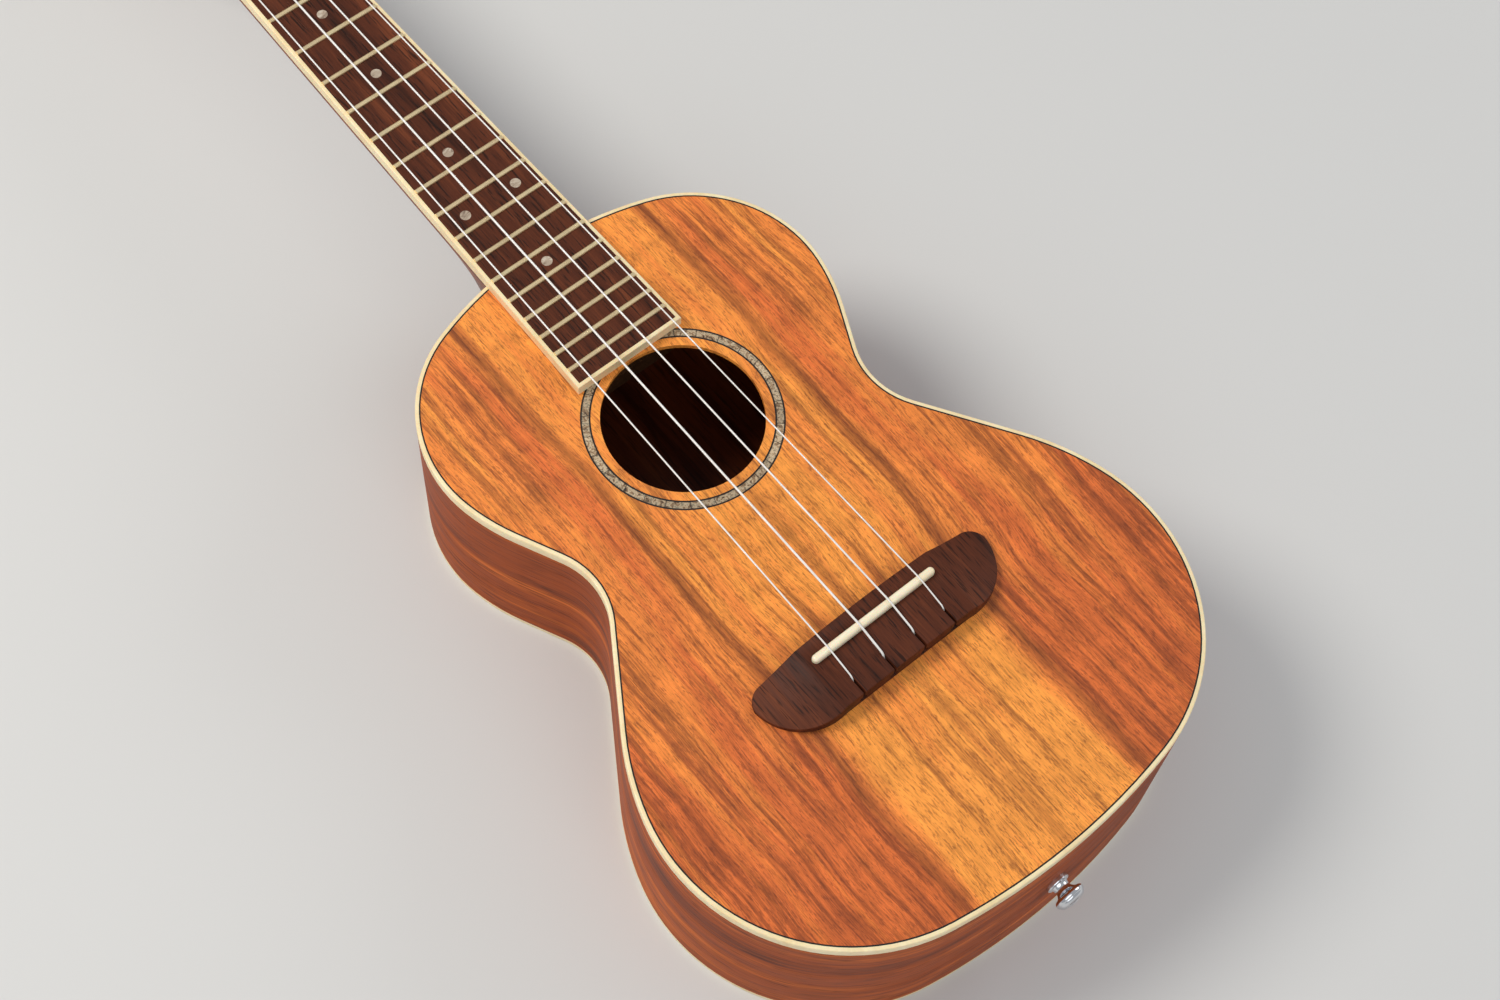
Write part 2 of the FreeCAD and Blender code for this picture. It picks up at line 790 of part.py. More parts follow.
def make_bridge():
    """A flat middle and hollowed wings, with the saddle's slot and the strings' slits."""
    flat, reach = size("bridge_flat_half"), size("bridge_half") + LEAD
    tall, tip = size("bridge_tall"), size("bridge_tip_tall")
    plan = prism("bridge_plan", bridge_outline(), "{bridge_tall}", TOP)
    side = [Part.LineSegment(Vector(0, tall), Vector(flat, tall)),
            bowed(Vector(flat, tall), Vector(reach, tip), -size("bridge_wing_hollow")),
            Part.LineSegment(Vector(reach, tip), Vector(reach, 0))]
    foot = Part.LineSegment(Vector(reach, 0), Vector(-reach, 0))
    profile = doc.addObject("PartDesign::Body", "bridge_profile")
    pad(profile, side + [foot] + backwards(side, hand_x=-1),
        f"{{bridge_back}} - {{bridge_front}} + 2 * {LEAD}", role="YZ_Plane")
    stand(profile, x=f"{{bridge_front}} - {LEAD}", z=TOP)
    blank = common("bridge_blank", plan, profile)
    slot = prism("saddle_slot", saddle_outline(), f"{{saddle_slot_deep}} + {LEAD}",
                 "{body_depth} + {bridge_tall} - {saddle_slot_deep}")
    tools = [slot]
    bore_long = Vector(size("bridge_back") - size("knot_bore_start") + LEAD, 0, 0)
    for index, name in enumerate(STRINGS):
        y = string_y(index, "saddle_string_spread")
        tools.append(block(f"slit_{name}", f"{{bridge_back}} - {{bridge_slit_start}} + {LEAD}",
                           "{bridge_slit_wide}", f"{{bridge_slit_deep}} + {LEAD}",
                           x="{bridge_slit_start}", y=str(y),
                           z="{body_depth} + {bridge_tall} - {bridge_slit_deep}"))
        start = world(size("knot_bore_start"), y, size("body_depth") + size("knot_bore_tall"))
        tools.append(rod(f"knot_bore_{name}", start, start + bore_long, "{knot_bore_radius}"))
    keep(cut("bridge", blank, *tools), "bridge")


def saddle_outline():
    return stadium(size("saddle_station"), 0, size("saddle_thick") / 2, size("saddle_long") / 2)


def make_saddle():
    body = new_body("saddle")
    bed = "{bridge_tall} - {saddle_slot_deep}"
    pad(body, saddle_outline(), f"{{saddle_tall}} - ({bed})")
    top = size("saddle_tall") - size("bridge_tall") + size("saddle_slot_deep")
    fillet(body, level_edges(body, top), "{saddle_thick} * 0.4")
    stand(body, z=f"{{body_depth}} + {bed}")


def make_strap_button():
    """Mushroom button for a strap, held by a countersunk screw into the tail block."""
    base, waist, head = (size(f"button_{n}_radius") for n in ("base", "waist", "head"))
    length, sink, screw = (size(n) for n in ("button_long", "button_screw_head", "button_screw_radius"))
    foot = size("button_base_long")
    throat, shoulder, rim, brow = (foot + size(f"button_{n}_rise")
                                   for n in ("throat", "shoulder", "rim", "brow"))
    edge = size("button_edge")
    mouth = length - edge
    bore = screw + GAP / 2
    seat = mouth - sink + screw - 2 * GAP
    body = new_body("strap_button")
    revolve(body, [
        Part.LineSegment(Vector(bore, 0), Vector(base, 0)),
        Part.LineSegment(Vector(base, 0), Vector(base, foot - edge)),
        Part.Arc(Vector(base, foot - edge), Vector(base - edge / 2, foot - GAP),
                 Vector(base - 2 * edge, foot)),
        Part.Arc(Vector(base - 2 * edge, foot), Vector(waist, throat), Vector(head - 2 * edge, shoulder)),
        Part.Arc(Vector(head - 2 * edge, shoulder), Vector(head, rim), Vector(head - edge, brow)),
        Part.Arc(Vector(head - edge, brow), Vector(head - 3 * edge, mouth - GAP),
                 Vector(sink + 2 * GAP, mouth)),
        Part.LineSegment(Vector(sink + 2 * GAP, mouth), Vector(bore, seat)),
        Part.LineSegment(Vector(bore, seat), Vector(bore, 0)),
    ])
    place = Placement(world(size("tail_station") + size("binding_width"), 0, size("button_rise")),
                      Rotation(Vector(0, 1, 0), 90))
    body.Placement = place
    pin = new_body("strap_button_screw")
    tip = length - size("button_screw_long")
    flush = mouth - GAP
    revolve(pin, polygon(((0, tip), (screw, tip + 2 * screw), (screw, flush - sink + screw),
                          (sink, flush), (0, flush))))
    half_long, half_wide = size("button_drive_long") / 2, size("button_drive_wide") / 2
    pocket(pin, rectangle(-half_wide, -half_long, half_wide, half_long), "{button_drive_deep}",
           lift=str(flush))
    pin.Placement = place


# Neck and headstock --------------------------------------------------------------------


def world(x, y, z):
    """A point given by its station, side and height, in the instrument's own frame."""
    return Vector(x - size("nut_station"), y, z)


def head_placement():
    """The tilted plane of the headstock's face, whose X points back towards the nut."""
    tilt = Rotation(Vector(0, 1, 0), -size("head_angle"))
    return Placement(world(-size("nut_thick"), 0, size("body_depth")), tilt)


def head_half():
    """Edges of the headstock outline's +Y half, from the nut to the crest."""
    moves = (
        (size("head_flare_radius"), -size("head_flare_turn")),
        (size("head_shoulder_radius"), size("head_shoulder_turn")),
        (0, size("head_edge_run")),
        (size("head_corner_radius"), size("head_corner_turn")),
    )
    edges, point, angle = walk(Vector(0, board_half(0)), 180, moves)
    normal = Vector(math.sin(angle), -math.cos(angle))
    radius = point.y / normal.y
    centre = point - normal * radius
    half_turn = math.atan2(point.y, centre.x - point.x) / 2
    middle = centre + Vector(-math.cos(half_turn), math.sin(half_turn)) * radius
    edges.append(Part.Arc(point, middle, centre - Vector(radius, 0)))
    return edges


def head_loop():
    half = head_half()
    foot = Part.LineSegment(Vector(0, -board_half(0)), Vector(0, board_half(0)))
    return half + mirrored(half) + [foot]


def neck_section(name, placement, top_half, depth, base_half, drop, bulge):
    """A neck cross-section: flat top, short upright edges, bowed flanks, round bottom."""
    brow = Vector(top_half, -size("shaft_brow"))
    knee = Vector(base_half, drop - depth)
    right = [Part.LineSegment(Vector(top_half, 0), brow), bowed(brow, knee, bulge)]
    left = backwards(right, hand_x=-1)
    belly = Part.Arc(knee, Vector(0, -depth), Vector(-base_half, knee.y))
    lid = Part.LineSegment(Vector(-top_half, 0), Vector(top_half, 0))
    sketch = doc.addObject("Sketcher::SketchObject", name)
    sketch.addGeometry(right + [belly] + left + [lid], False)
    upright = Placement(Vector(), Rotation(Vector(1, 1, 1), 120))
    sketch.Placement = placement.multiply(upright)
    return sketch


def section_at(name, station, depth, base_half, drop, bulge):
    """An upright neck section at a station, as wide as the fingerboard there."""
    frame = Placement(world(station, 0, size("body_depth")), Rotation())
    return neck_section(name, frame, board_half(station), depth, base_half, drop, bulge)


def loft(name, sections):
    item = doc.addObject("Part::Loft", name)
    item.Sections = sections
    item.Solid = True
    item.Ruled = len(sections) == 2
    doc.recompute()
    return item


def head_prism(name, height, z, x=0.0):
    """The headstock's outline as a solid, from a depth under its face."""
    body = doc.addObject("PartDesign::Body", name)
    pad(body, head_loop(), height)
    body.Placement = head_placement().multiply(Placement(Vector(x, 0, z), Rotation()))
    return body


def tuner_places():
    """Post axes on the headstock's face: name, distance from the nut, side."""
    near, far, offset = size("tuner_near"), size("tuner_far"), size("tuner_offset")
    return {"g": (-near, -offset), "c": (-far, -offset), "e": (-far, offset), "a": (-near, offset)}


def post_holes(radius):
    """Drills through the headstock for the four tuning posts."""
    drills = []
    for name, (x, y) in tuner_places().items():
        low = Vector(x, y, -size("head_thick") - LEAD)
        high = Vector(x, y, size("veneer_thick") + LEAD)
        frame = head_placement()
        drills.append(rod(f"post_drill_{name}", frame.multVec(low), frame.multVec(high), radius))
    return drills


def screw_holes():
    """Pilot holes for the tuning machines' screws in the headstock's back."""
    drills = []
    seat = -size("head_thick") - LEAD
    for name in STRINGS:
        for hand in (-1, 1):
            along = hand * size("screw_spacing") / 2 - size("plate_shift")
            foot = tuner_frame(name, along=along, z=seat).Base
            tip = tuner_frame(name, along=along, z=seat + size("screw_long")).Base
            drills.append(rod(f"pilot_{name}_{hand + 1}", foot, tip, "{screw_radius}"))
    return drills


def make_shaft():
    """Round-backed shaft that sweeps down into the heel and ends inside the body."""
    deep_nut, deep_heel = size("shaft_deep_nut"), size("shaft_deep_heel")
    knee, rounding, bow = (size(f"shaft_{n}_heel") for n in ("knee", "round", "bow"))
    start = size("heel_start")
    nut_end = section_at("shaft_at_nut", -size("nut_thick"), deep_nut, size("shaft_knee_nut"),
                         size("shaft_round_nut"), size("shaft_bow_nut"))
    heel_end = section_at("shaft_at_heel", start, deep_heel, knee, rounding, bow)
    curve = []
    for step in range(HEEL_STEPS + 1):
        turn = math.radians(size("heel_sweep_turn")) * step / HEEL_STEPS
        ease = 1 - math.cos(turn)
        depth = deep_heel + size("heel_sweep_deep") * ease
        curve.append(section_at(f"heel_section{step}", start + size("heel_sweep_long") * math.sin(turn),
                                depth, knee - size("heel_knee_loss") * ease,
                                rounding + size("heel_round_gain") * ease,
                                bow - size("heel_bow_loss") * ease))
    foot = section_at("heel_at_body", size("body_start") + 6 * LEAD, depth, size("heel_foot_knee"),
                      size("heel_foot_round"), size("heel_foot_bow"))
    runs = (loft("shaft_run", [nut_end, heel_end]), loft("heel_sweep", curve),
            loft("heel_foot", [curve[-1], foot]))
    return fuse("neck_shaft", runs)


def trim_shaft(shaft):
    """Cuts the shaft to the body's neck end and at the heel's foot, which a cap covers."""
    bulge = circle(size("body_start") + size("neck_end_radius"), 0,
                   size("neck_end_radius") + size("binding_width"))
    body_end = prism("neck_end_bulge", [bulge], "{body_depth} * 2", "-{body_depth}")
    reach = {"length": "{neck_end_radius}", "width": "{neck_end_radius}", "x": "{body_start} / 2"}
    below = block("below_heel", height="{body_depth} * 2", z="-{body_depth} - {heel_deep}", **reach)
    slab = block("heel_cap_slab", height="{heel_cap_thick}",
                 z="{body_depth} - {heel_deep} - {heel_cap_thick}", **reach)
    keep(cut("heel_cap", common("heel_cap_stock", shaft, slab), body_end), "heel_cap")
    return cut("neck_shaft_trimmed", shaft, body_end, below)


def make_throat():
    """The blend from the shaft's round back to the flat headstock, under the nut."""
    overlap = size("head_throat_overlap")
    root_frame = head_placement().multiply(Placement(Vector(overlap, 0, 0), Rotation()))
    head_frame = head_placement().multiply(Placement(Vector(-size("head_throat"), 0, 0), Rotation()))
    wide = board_half(0) + size("head_throat_flare")
    stock = loft("throat_stock", [
        neck_section("throat_root", root_frame, board_half(0), size("shaft_deep_nut") + 3 * GAP,
                     size("shaft_knee_nut"), size("shaft_round_nut"), size("shaft_bow_nut")),
        neck_section("throat_head", head_frame, wide, size("head_thick"),
                     wide - size("shaft_brow"), size("head_throat_round"), size("head_throat_bow")),
    ])
    envelope = head_prism("throat_envelope", "{head_thick} * 3", -2.5 * size("head_thick"),
                          x=overlap + 2 * GAP)
    above_nut = block("nut_seat", "{nut_thick} + {head_throat}", "{board_wide_nut} * 2", "{nut_tall} * 2",
                      x="-{nut_thick}", z=TOP)
    return cut("throat", common("throat_fitted", stock, envelope), above_nut)


def make_neck(dowel_drills):
    """Shaft, swept heel trimmed to the body, throat and headstock in one piece."""
    shaft = trim_shaft(make_shaft())
    plate = head_prism("headstock_plate", "{head_thick}", -size("head_thick"))
    root_cut = bind(doc.addObject("Part::Box", "head_root_cut"), Length="{head_throat} * 2",
                    Width="{board_wide_nut} * 4", Height="{head_thick} * 4")
    corner = Placement(Vector(-size("head_throat"), -2 * size("board_wide_nut"),
                              -2 * size("head_thick")), Rotation())
    root_cut.Placement = head_placement().multiply(corner)
    blank = fuse("neck_blank", (shaft, make_throat(), cut("headstock_trimmed", plate, root_cut)))
    drills = post_holes("{bushing_radius}")
    keep(cut("neck", blank, *drills, *screw_holes(), *dowel_drills), "neck")
    veneer = head_prism("veneer_sheet", "{veneer_thick}", 0)
    keep(cut("headstock_veneer", veneer, *drills), "headstock_veneer")


def dowels(name, radius):
    """Two dowels along X that carry the neck on the body's end block."""
    bars = []
    for index, drop in enumerate(("dowel_upper", "dowel_lower")):
        start = world(size("dowel_start"), 0, size("body_depth") - size(drop))
        bars.append(rod(f"{name}{index}", start, start + Vector(size("dowel_long"), 0, 0), radius))
    return bars


# Tuning machines --------------------------------------------------------------------------


def tuner_frame(name, along=0.0, z=0.0, flip=False):
    """A tuner's place on the headstock, its X towards the nut, its Y outwards if flipped."""
    x, y = tuner_places()[name]
    turn = Rotation(Vector(1, 0, 0), 180) if flip and y < 0 else Rotation()
    return head_placement().multiply(Placement(Vector(x + along, y, z), turn))


def worm_level():
    """Height of the worm's axis, which is the gear's mid-plane, under the face."""
    return -(size("head_thick") + size("plate_thick") + size("gear_below_plate")
             + size("gear_thick") / 2)


def make_housing(name):
    """Bearing plate screwed to the headstock's back, with two ears for the worm's shaft."""
    body = new_body(f"tuner_housing_{name}")
    half_long, half_wide = size("plate_long") / 2, size("plate_wide") / 2
    shift, corner = -size("plate_shift"), size("plate_corner")
    moves = ((0, size("plate_long") - 2 * corner), (corner, 90),
             (0, size("plate_wide") - 2 * corner), (corner, 90)) * 2
    edges, _, _ = walk(Vector(shift - half_long + corner, -half_wide), 0, moves)
    screws = [shift + hand * size("screw_spacing") / 2 for hand in (-1, 1)]
    bore = size("post_radius") + size("running_gap")
    holes = [circle(0, 0, bore)] + [circle(x, 0, size("screw_radius")) for x in screws]
    pad(body, edges + holes, "{plate_thick}")
    gap, thick = size("ear_gap") / 2, size("ear_thick")
    worm_x, half_ear = -size("worm_to_gear"), size("ear_wide") / 2
    for low in (-gap - thick, gap):
        pad(body, rectangle(worm_x - half_ear, low, worm_x + half_ear, low + thick),
            "{ear_drop} + {plate_thick}", lift="-{ear_drop}")
    level = -(size("gear_below_plate") + size("gear_thick") / 2)
    bearing = [circle(worm_x, level, size("worm_core_radius") + size("running_gap"))]
    pocket(body, bearing, "{ear_gap} * 3", role="XZ_Plane", both_ways=True)
    body.Placement = tuner_frame(name, z=-size("head_thick") - size("plate_thick"))


def make_post(name):
    """String post: a drilled barrel with a spigot riveted over under the gear."""
    body = new_body(f"tuner_post_{name}")
    barrel, spigot = size("post_radius"), size("post_spigot_radius")
    rise, rivet, bevel = size("post_rise"), size("post_rivet"), size("post_bevel")
    seat = worm_level() + size("gear_thick") / 2
    foot = seat - size("gear_thick")
    edges = polygon(((0, foot - rivet), (spigot + bevel, foot - rivet), (spigot + rivet, foot),
                     (spigot, foot), (spigot, seat), (barrel, seat), (barrel, rise - bevel),
                     (barrel - bevel, rise), (0, rise)))
    revolve(body, edges)
    hole = [circle(0, size("post_hole_rise"), size("post_hole_radius"))]
    pocket(body, hole, "{post_radius} * 3", role="XZ_Plane", both_ways=True)
    body.Placement = tuner_frame(name)


def make_gear(name):
    """Worm wheel on the post's spigot, one tooth pointing at the worm."""
    body = new_body(f"tuner_gear_{name}")
    teeth = int(size("gear_teeth"))
    root, pitch, tip = (size(f"gear_{n}_radius") for n in ("root", "pitch", "tip"))
    half = size("tooth_thick") / 2
    flank = ((root, half * TOOTH_ROOT), (pitch, half), (tip, half * TOOTH_TIP))
    points = []
    for index in range(teeth):
        turn = math.pi + 2 * math.pi * index / teeth
        shape = [(radius, -width) for radius, width in flank]
        shape += [(radius, width) for radius, width in reversed(flank)]
        for along, across in shape:
            points.append((along * math.cos(turn) - across * math.sin(turn),
                           along * math.sin(turn) + across * math.cos(turn)))
    pad(body, polygon(points) + [circle(0, 0, size("post_spigot_radius"))], "{gear_thick}",
        both_ways=True)
    body.Placement = tuner_frame(name, z=worm_level())


def make_worm(name):
    """Worm and its shaft in one piece, with a right-hand thread facing the gear."""
    body = new_body(f"tuner_worm_{name}")
    core, tip = size("worm_core_radius"), size("worm_tip_radius")
    inner, outer = size("worm_shaft_inner"), size("worm_shaft_outer")
    revolve(body, rectangle(0, -inner, core, outer), role="XY_Plane", axis="Y_Axis")
    half = size("tooth_thick") / 2
    start = -size("worm_pitch") * size("worm_turns") / 2
    root = core * 0.7
    thread = polygon(((root, start - half * THREAD_ROOT), (tip, start - half * TOOTH_TIP),
                      (tip, start + half * TOOTH_TIP), (root, start + half * THREAD_ROOT)))
    sketch = sketch_on(body, thread)
    helix = body.newObject("PartDesign::AdditiveHelix", f"{body.Label}_thread")
    helix.Profile = sketch
    helix.ReferenceAxis = (plane_of(body, "Y_Axis"), [""])
    helix.Mode = "pitch-turns-angle"
    bind(helix, Pitch="{worm_pitch}", Turns="{worm_turns}")
    body.Tip = helix
    doc.recompute()
    body.Placement = tuner_frame(name, along=-size("worm_to_gear"), z=worm_level(), flip=True)


def make_knob(name):
    """Oval button with a collar, pressed on the end of the worm's shaft."""
    body = new_body(f"tuner_knob_{name}")
    collar = size("knob_start") + size("knob_collar_long")
    pad(body, [circle(0, 0, size("knob_collar_radius"))], "{knob_collar_long}", lift="{knob_start}")
    oval = Part.Ellipse(Vector(0, 0), size("knob_half_wide"), size("knob_half_thick"))
    pad(body, [oval], "{knob_long}", lift="{knob_start} + {knob_collar_long}")
    rims = [edge for edge in level_edges(body, collar, collar + size("knob_long"))
            if body.Shape.getElement(edge).BoundBox.XLength > size("knob_half_wide")]
    fillet(body, rims, "{knob_round}")
    pocket(body, [circle(0, 0, size("worm_core_radius"))], "{worm_shaft_outer} - {knob_start}",
           lift="{worm_shaft_outer}")
    outward = Rotation(Vector(1, 0, 0), -90)
    frame = tuner_frame(name, along=-size("worm_to_gear"), z=worm_level(), flip=True)
    body.Placement = frame.multiply(Placement(Vector(), outward))


def make_wrap(name):
    """The turns of string wound on the post, as their outer sleeve."""
    body = new_body(f"string_wrap_{name}")
    inner = size("post_radius")
    pad(body, [circle(0, 0, inner), circle(0, 0, inner + size("wrap_thick"))], "{wrap_tall}")
    body.Placement = tuner_frame(name, z=size("wrap_rise"))


def revolved_at(name, points, placement):
    """A helper body turned about its own Z and then placed."""
    body = doc.addObject("PartDesign::Body", name)
    revolve(body, polygon(points))
    body.Placement = placement
    return body


def bushing_profile():
    """Sleeve with a round flange on the headstock's face, in which a post turns."""
    bore = size("post_radius") + size("running_gap")
    flange, sleeve = size("bushing_flange_radius"), size("bushing_radius")
    foot, face = -size("bushing_deep"), size("veneer_thick")
    lip = face + size("bushing_flange_thick")
    bevel = size("bushing_bevel")
    return ((bore, foot), (sleeve, foot), (sleeve, face), (flange, face), (flange, lip - bevel),
            (flange - bevel, lip), (bore, lip))


def screw_profile():
    """Wood screw with a low domed head below and its point above."""
    shank, head = size("screw_radius"), size("screw_head_radius")
    tall, length = size("screw_head_tall"), size("screw_long")
    return ((0, -tall), (head - tall / 2, -tall), (head, -tall / 2), (head, 0), (shank, 0),
            (shank, length - 2 * shank), (0, length))


def make_tuners():
    bushings, screws = [], []
    seat = -size("head_thick") - size("plate_thick")
    for name in STRINGS:
        for make in (make_housing, make_post, make_gear, make_worm, make_knob, make_wrap):
            make(name)
        bushings.append(revolved_at(f"bushing_{name}", bushing_profile(), tuner_frame(name)))
        for hand in (-1, 1):
            along = hand * size("screw_spacing") / 2 - size("plate_shift")
            place = tuner_frame(name, along=along, z=seat)
            screws.append(revolved_at(f"screw_{name}_{hand + 1}", screw_profile(), place))
    keep(group("tuner_bushings", bushings), "tuner_bushings")
    keep(group("tuner_screws", screws), "tuner_screws")


# Strings ------------------------------------------------------------------------------------


def make_string(index, name):
    """Post to nut, nut to saddle, saddle to bridge, down the slit, and the knot."""
    radius = size(f"string_{name}_radius")
    depth = size("body_depth")
    post_x, post_y = tuner_places()[name]
    hand = math.copysign(1, post_y)
    rim = size("post_radius") + size("wrap_thick") + radius + GAP
    frame = head_placement()
    nut_y, saddle_y = string_y(index, "nut_string_spread"), string_y(index, "saddle_string_spread")
    nut_z = depth + size("nut_slot_floor") + radius
    peak = depth + size("saddle_tall") + radius + GAP
    on_post = frame.multVec(Vector(post_x, post_y - hand * rim, size("wrap_rise") + 1.5))
    nut_front = world(-size("nut_thick"), nut_y, nut_z)
    saddle_top = world(size("saddle_station"), saddle_y, peak)
    entry = world(size("bridge_slit_start") + radius + 2 * GAP, saddle_y,
                  depth + size("bridge_tall") + radius + GAP)
    knot = world(size("knot_bore_start") + size("knot_radius") + 5 * GAP, saddle_y,
                 depth + size("knot_bore_tall"))
    stops = [on_post, nut_front, saddle_top, entry, knot]
    cell = f"{{string_{name}_radius}}"
    runs = [rod(f"string_{name}_run{n}", a, b, cell) for n, (a, b) in enumerate(zip(stops, stops[1:]))]
    ball = doc.addObject("Part::Sphere", f"string_{name}_knot")
    bind(ball, Radius="{knot_radius}")
    ball.Placement.Base = knot
    tail = fuse(f"string_{name}_tail", (runs[3], ball))
    keep(group(f"string_{name}", (*runs[:3], tail)), f"string_{name}")


# Assembly -------------------------------------------------------------------------------------

dowel_bars = dowels("dowel", "{dowel_radius}")
keep(group("neck_dowels", dowel_bars), "neck_dowels")
tail_drill = rod("tail_drill",
                 world(size("tail_station") - size("button_screw_long"), 0, size("button_rise")),
                 world(size("tail_station") + size("button_long"), 0, size("button_rise")),
                 "{button_screw_radius}")
shell_drills = [*dowel_bars, tail_drill]
make_soundboard()
make_rosette()
make_bindings()
make_sides(shell_drills)
make_blocks_and_linings(shell_drills)
make_braces()
make_fingerboard()
make_nut()
make_bridge()
make_saddle()
make_strap_button()
make_neck(dowel_bars)
make_tuners()
for order, letter in enumerate(STRINGS):
    make_string(order, letter)

doc.recompute()
for item in doc.Objects:
    if "Invalid" in item.State or "Error" in item.State:
        raise RuntimeError(f"{item.Name} failed: {item.State}")
os.makedirs("parts", exist_ok=True)
for label, item in parts.items():
    shape = item.Shape
    if shape.isNull() or not shape.isValid() or not shape.Solids:
        raise RuntimeError(f"{label} has no valid solid")
for label, item in parts.items():
    item.Shape.exportStep(f"parts/{label}.step")
print(len(parts), "sub-parts written")
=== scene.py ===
import json
import math

import bmesh
import bpy
from mathutils import Matrix, Vector

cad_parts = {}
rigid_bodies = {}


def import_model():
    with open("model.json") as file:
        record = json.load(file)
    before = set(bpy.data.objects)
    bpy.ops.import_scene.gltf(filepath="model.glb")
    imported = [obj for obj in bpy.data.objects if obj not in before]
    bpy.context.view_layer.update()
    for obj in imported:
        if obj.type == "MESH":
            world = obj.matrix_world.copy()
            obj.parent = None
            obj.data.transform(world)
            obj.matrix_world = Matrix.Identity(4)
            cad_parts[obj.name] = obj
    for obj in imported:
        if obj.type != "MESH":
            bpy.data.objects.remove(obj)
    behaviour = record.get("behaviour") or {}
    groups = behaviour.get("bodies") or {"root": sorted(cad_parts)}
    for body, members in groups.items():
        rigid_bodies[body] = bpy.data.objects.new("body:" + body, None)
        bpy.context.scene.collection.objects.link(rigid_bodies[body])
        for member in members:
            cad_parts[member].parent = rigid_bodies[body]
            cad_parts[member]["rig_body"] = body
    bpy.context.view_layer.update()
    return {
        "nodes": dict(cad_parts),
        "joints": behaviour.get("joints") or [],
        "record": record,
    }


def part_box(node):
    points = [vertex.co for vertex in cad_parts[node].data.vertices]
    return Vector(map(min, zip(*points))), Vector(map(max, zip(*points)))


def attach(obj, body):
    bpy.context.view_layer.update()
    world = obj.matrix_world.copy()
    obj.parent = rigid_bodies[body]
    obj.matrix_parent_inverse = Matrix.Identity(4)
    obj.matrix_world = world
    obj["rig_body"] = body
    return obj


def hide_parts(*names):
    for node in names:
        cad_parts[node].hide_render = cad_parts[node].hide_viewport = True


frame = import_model()
nodes = frame["nodes"]
MM = 0.001
LETTERS = "gcea"


# Camera, light and floor --------------------------------------------------------

def make_camera():
    """The viewing angle: over the bass side of the lower bout, looking down the neck."""
    right = Vector((0.639891, 0.766833, 0.050065))
    down = Vector((0.704373, -0.559228, -0.437175))
    forward = Vector((-0.307242, 0.315009, -0.897982))
    place = Vector((0.43736, -0.28540, 0.88489))
    camera = bpy.data.objects.new("camera", bpy.data.cameras.new("camera"))
    turn = Matrix((right, -down, -forward)).transposed()
    camera.matrix_world = Matrix.Translation(place) @ turn.to_4x4()
    camera.data.sensor_width = 36
    camera.data.lens = 58.93
    bpy.context.scene.collection.objects.link(camera)
    bpy.context.scene.camera = camera


def make_light(name, place, aim, size, power, tint=(1, 1, 1)):
    """A round area light that looks at the point aim."""
    lamp = bpy.data.lights.new(name, "AREA")
    lamp.shape = "DISK"
    lamp.size = size
    lamp.energy = power
    lamp.color = tint
    item = bpy.data.objects.new(name, lamp)
    item.location = place
    item.rotation_euler = (Vector(aim) - Vector(place)).to_track_quat("-Z", "Y").to_euler()
    bpy.context.scene.collection.objects.link(item)


def make_studio():
    scene = bpy.context.scene
    scene.view_settings.view_transform = "Standard"
    world = bpy.data.worlds.new("studio")
    world.use_nodes = True
    background = world.node_tree.nodes["Background"]
    background.inputs["Color"].default_value = (0.95, 0.97, 1.0, 1)
    background.inputs["Strength"].default_value = 0.42
    scene.world = world
    middle = (0.1, 0, 0.05)
    make_light("key_light", (-0.75, -0.85, 1.5), middle, 0.9, 22, (1, 0.96, 0.9))
    make_light("fill_light", (1.1, -0.5, 0.9), middle, 1.2, 4, (0.96, 0.98, 1))
    make_light("back_light", (0.5, 1.4, 0.9), middle, 1.0, 5)
    mesh = bpy.data.meshes.new("floor")
    reach = 6
    mesh.from_pydata([(-reach, -reach, 0), (reach, -reach, 0), (reach, reach, 0), (-reach, reach, 0)],
                     [], [(0, 1, 2, 3)])
    floor = bpy.data.objects.new("floor", mesh)
    scene.collection.objects.link(floor)
    shader = Shader("pale_floor")
    shader.finish({"Base Color": (0.66, 0.66, 0.65, 1), "Roughness": 0.75})
    mesh.materials.append(shader.material)


# Node materials -------------------------------------------------------------------

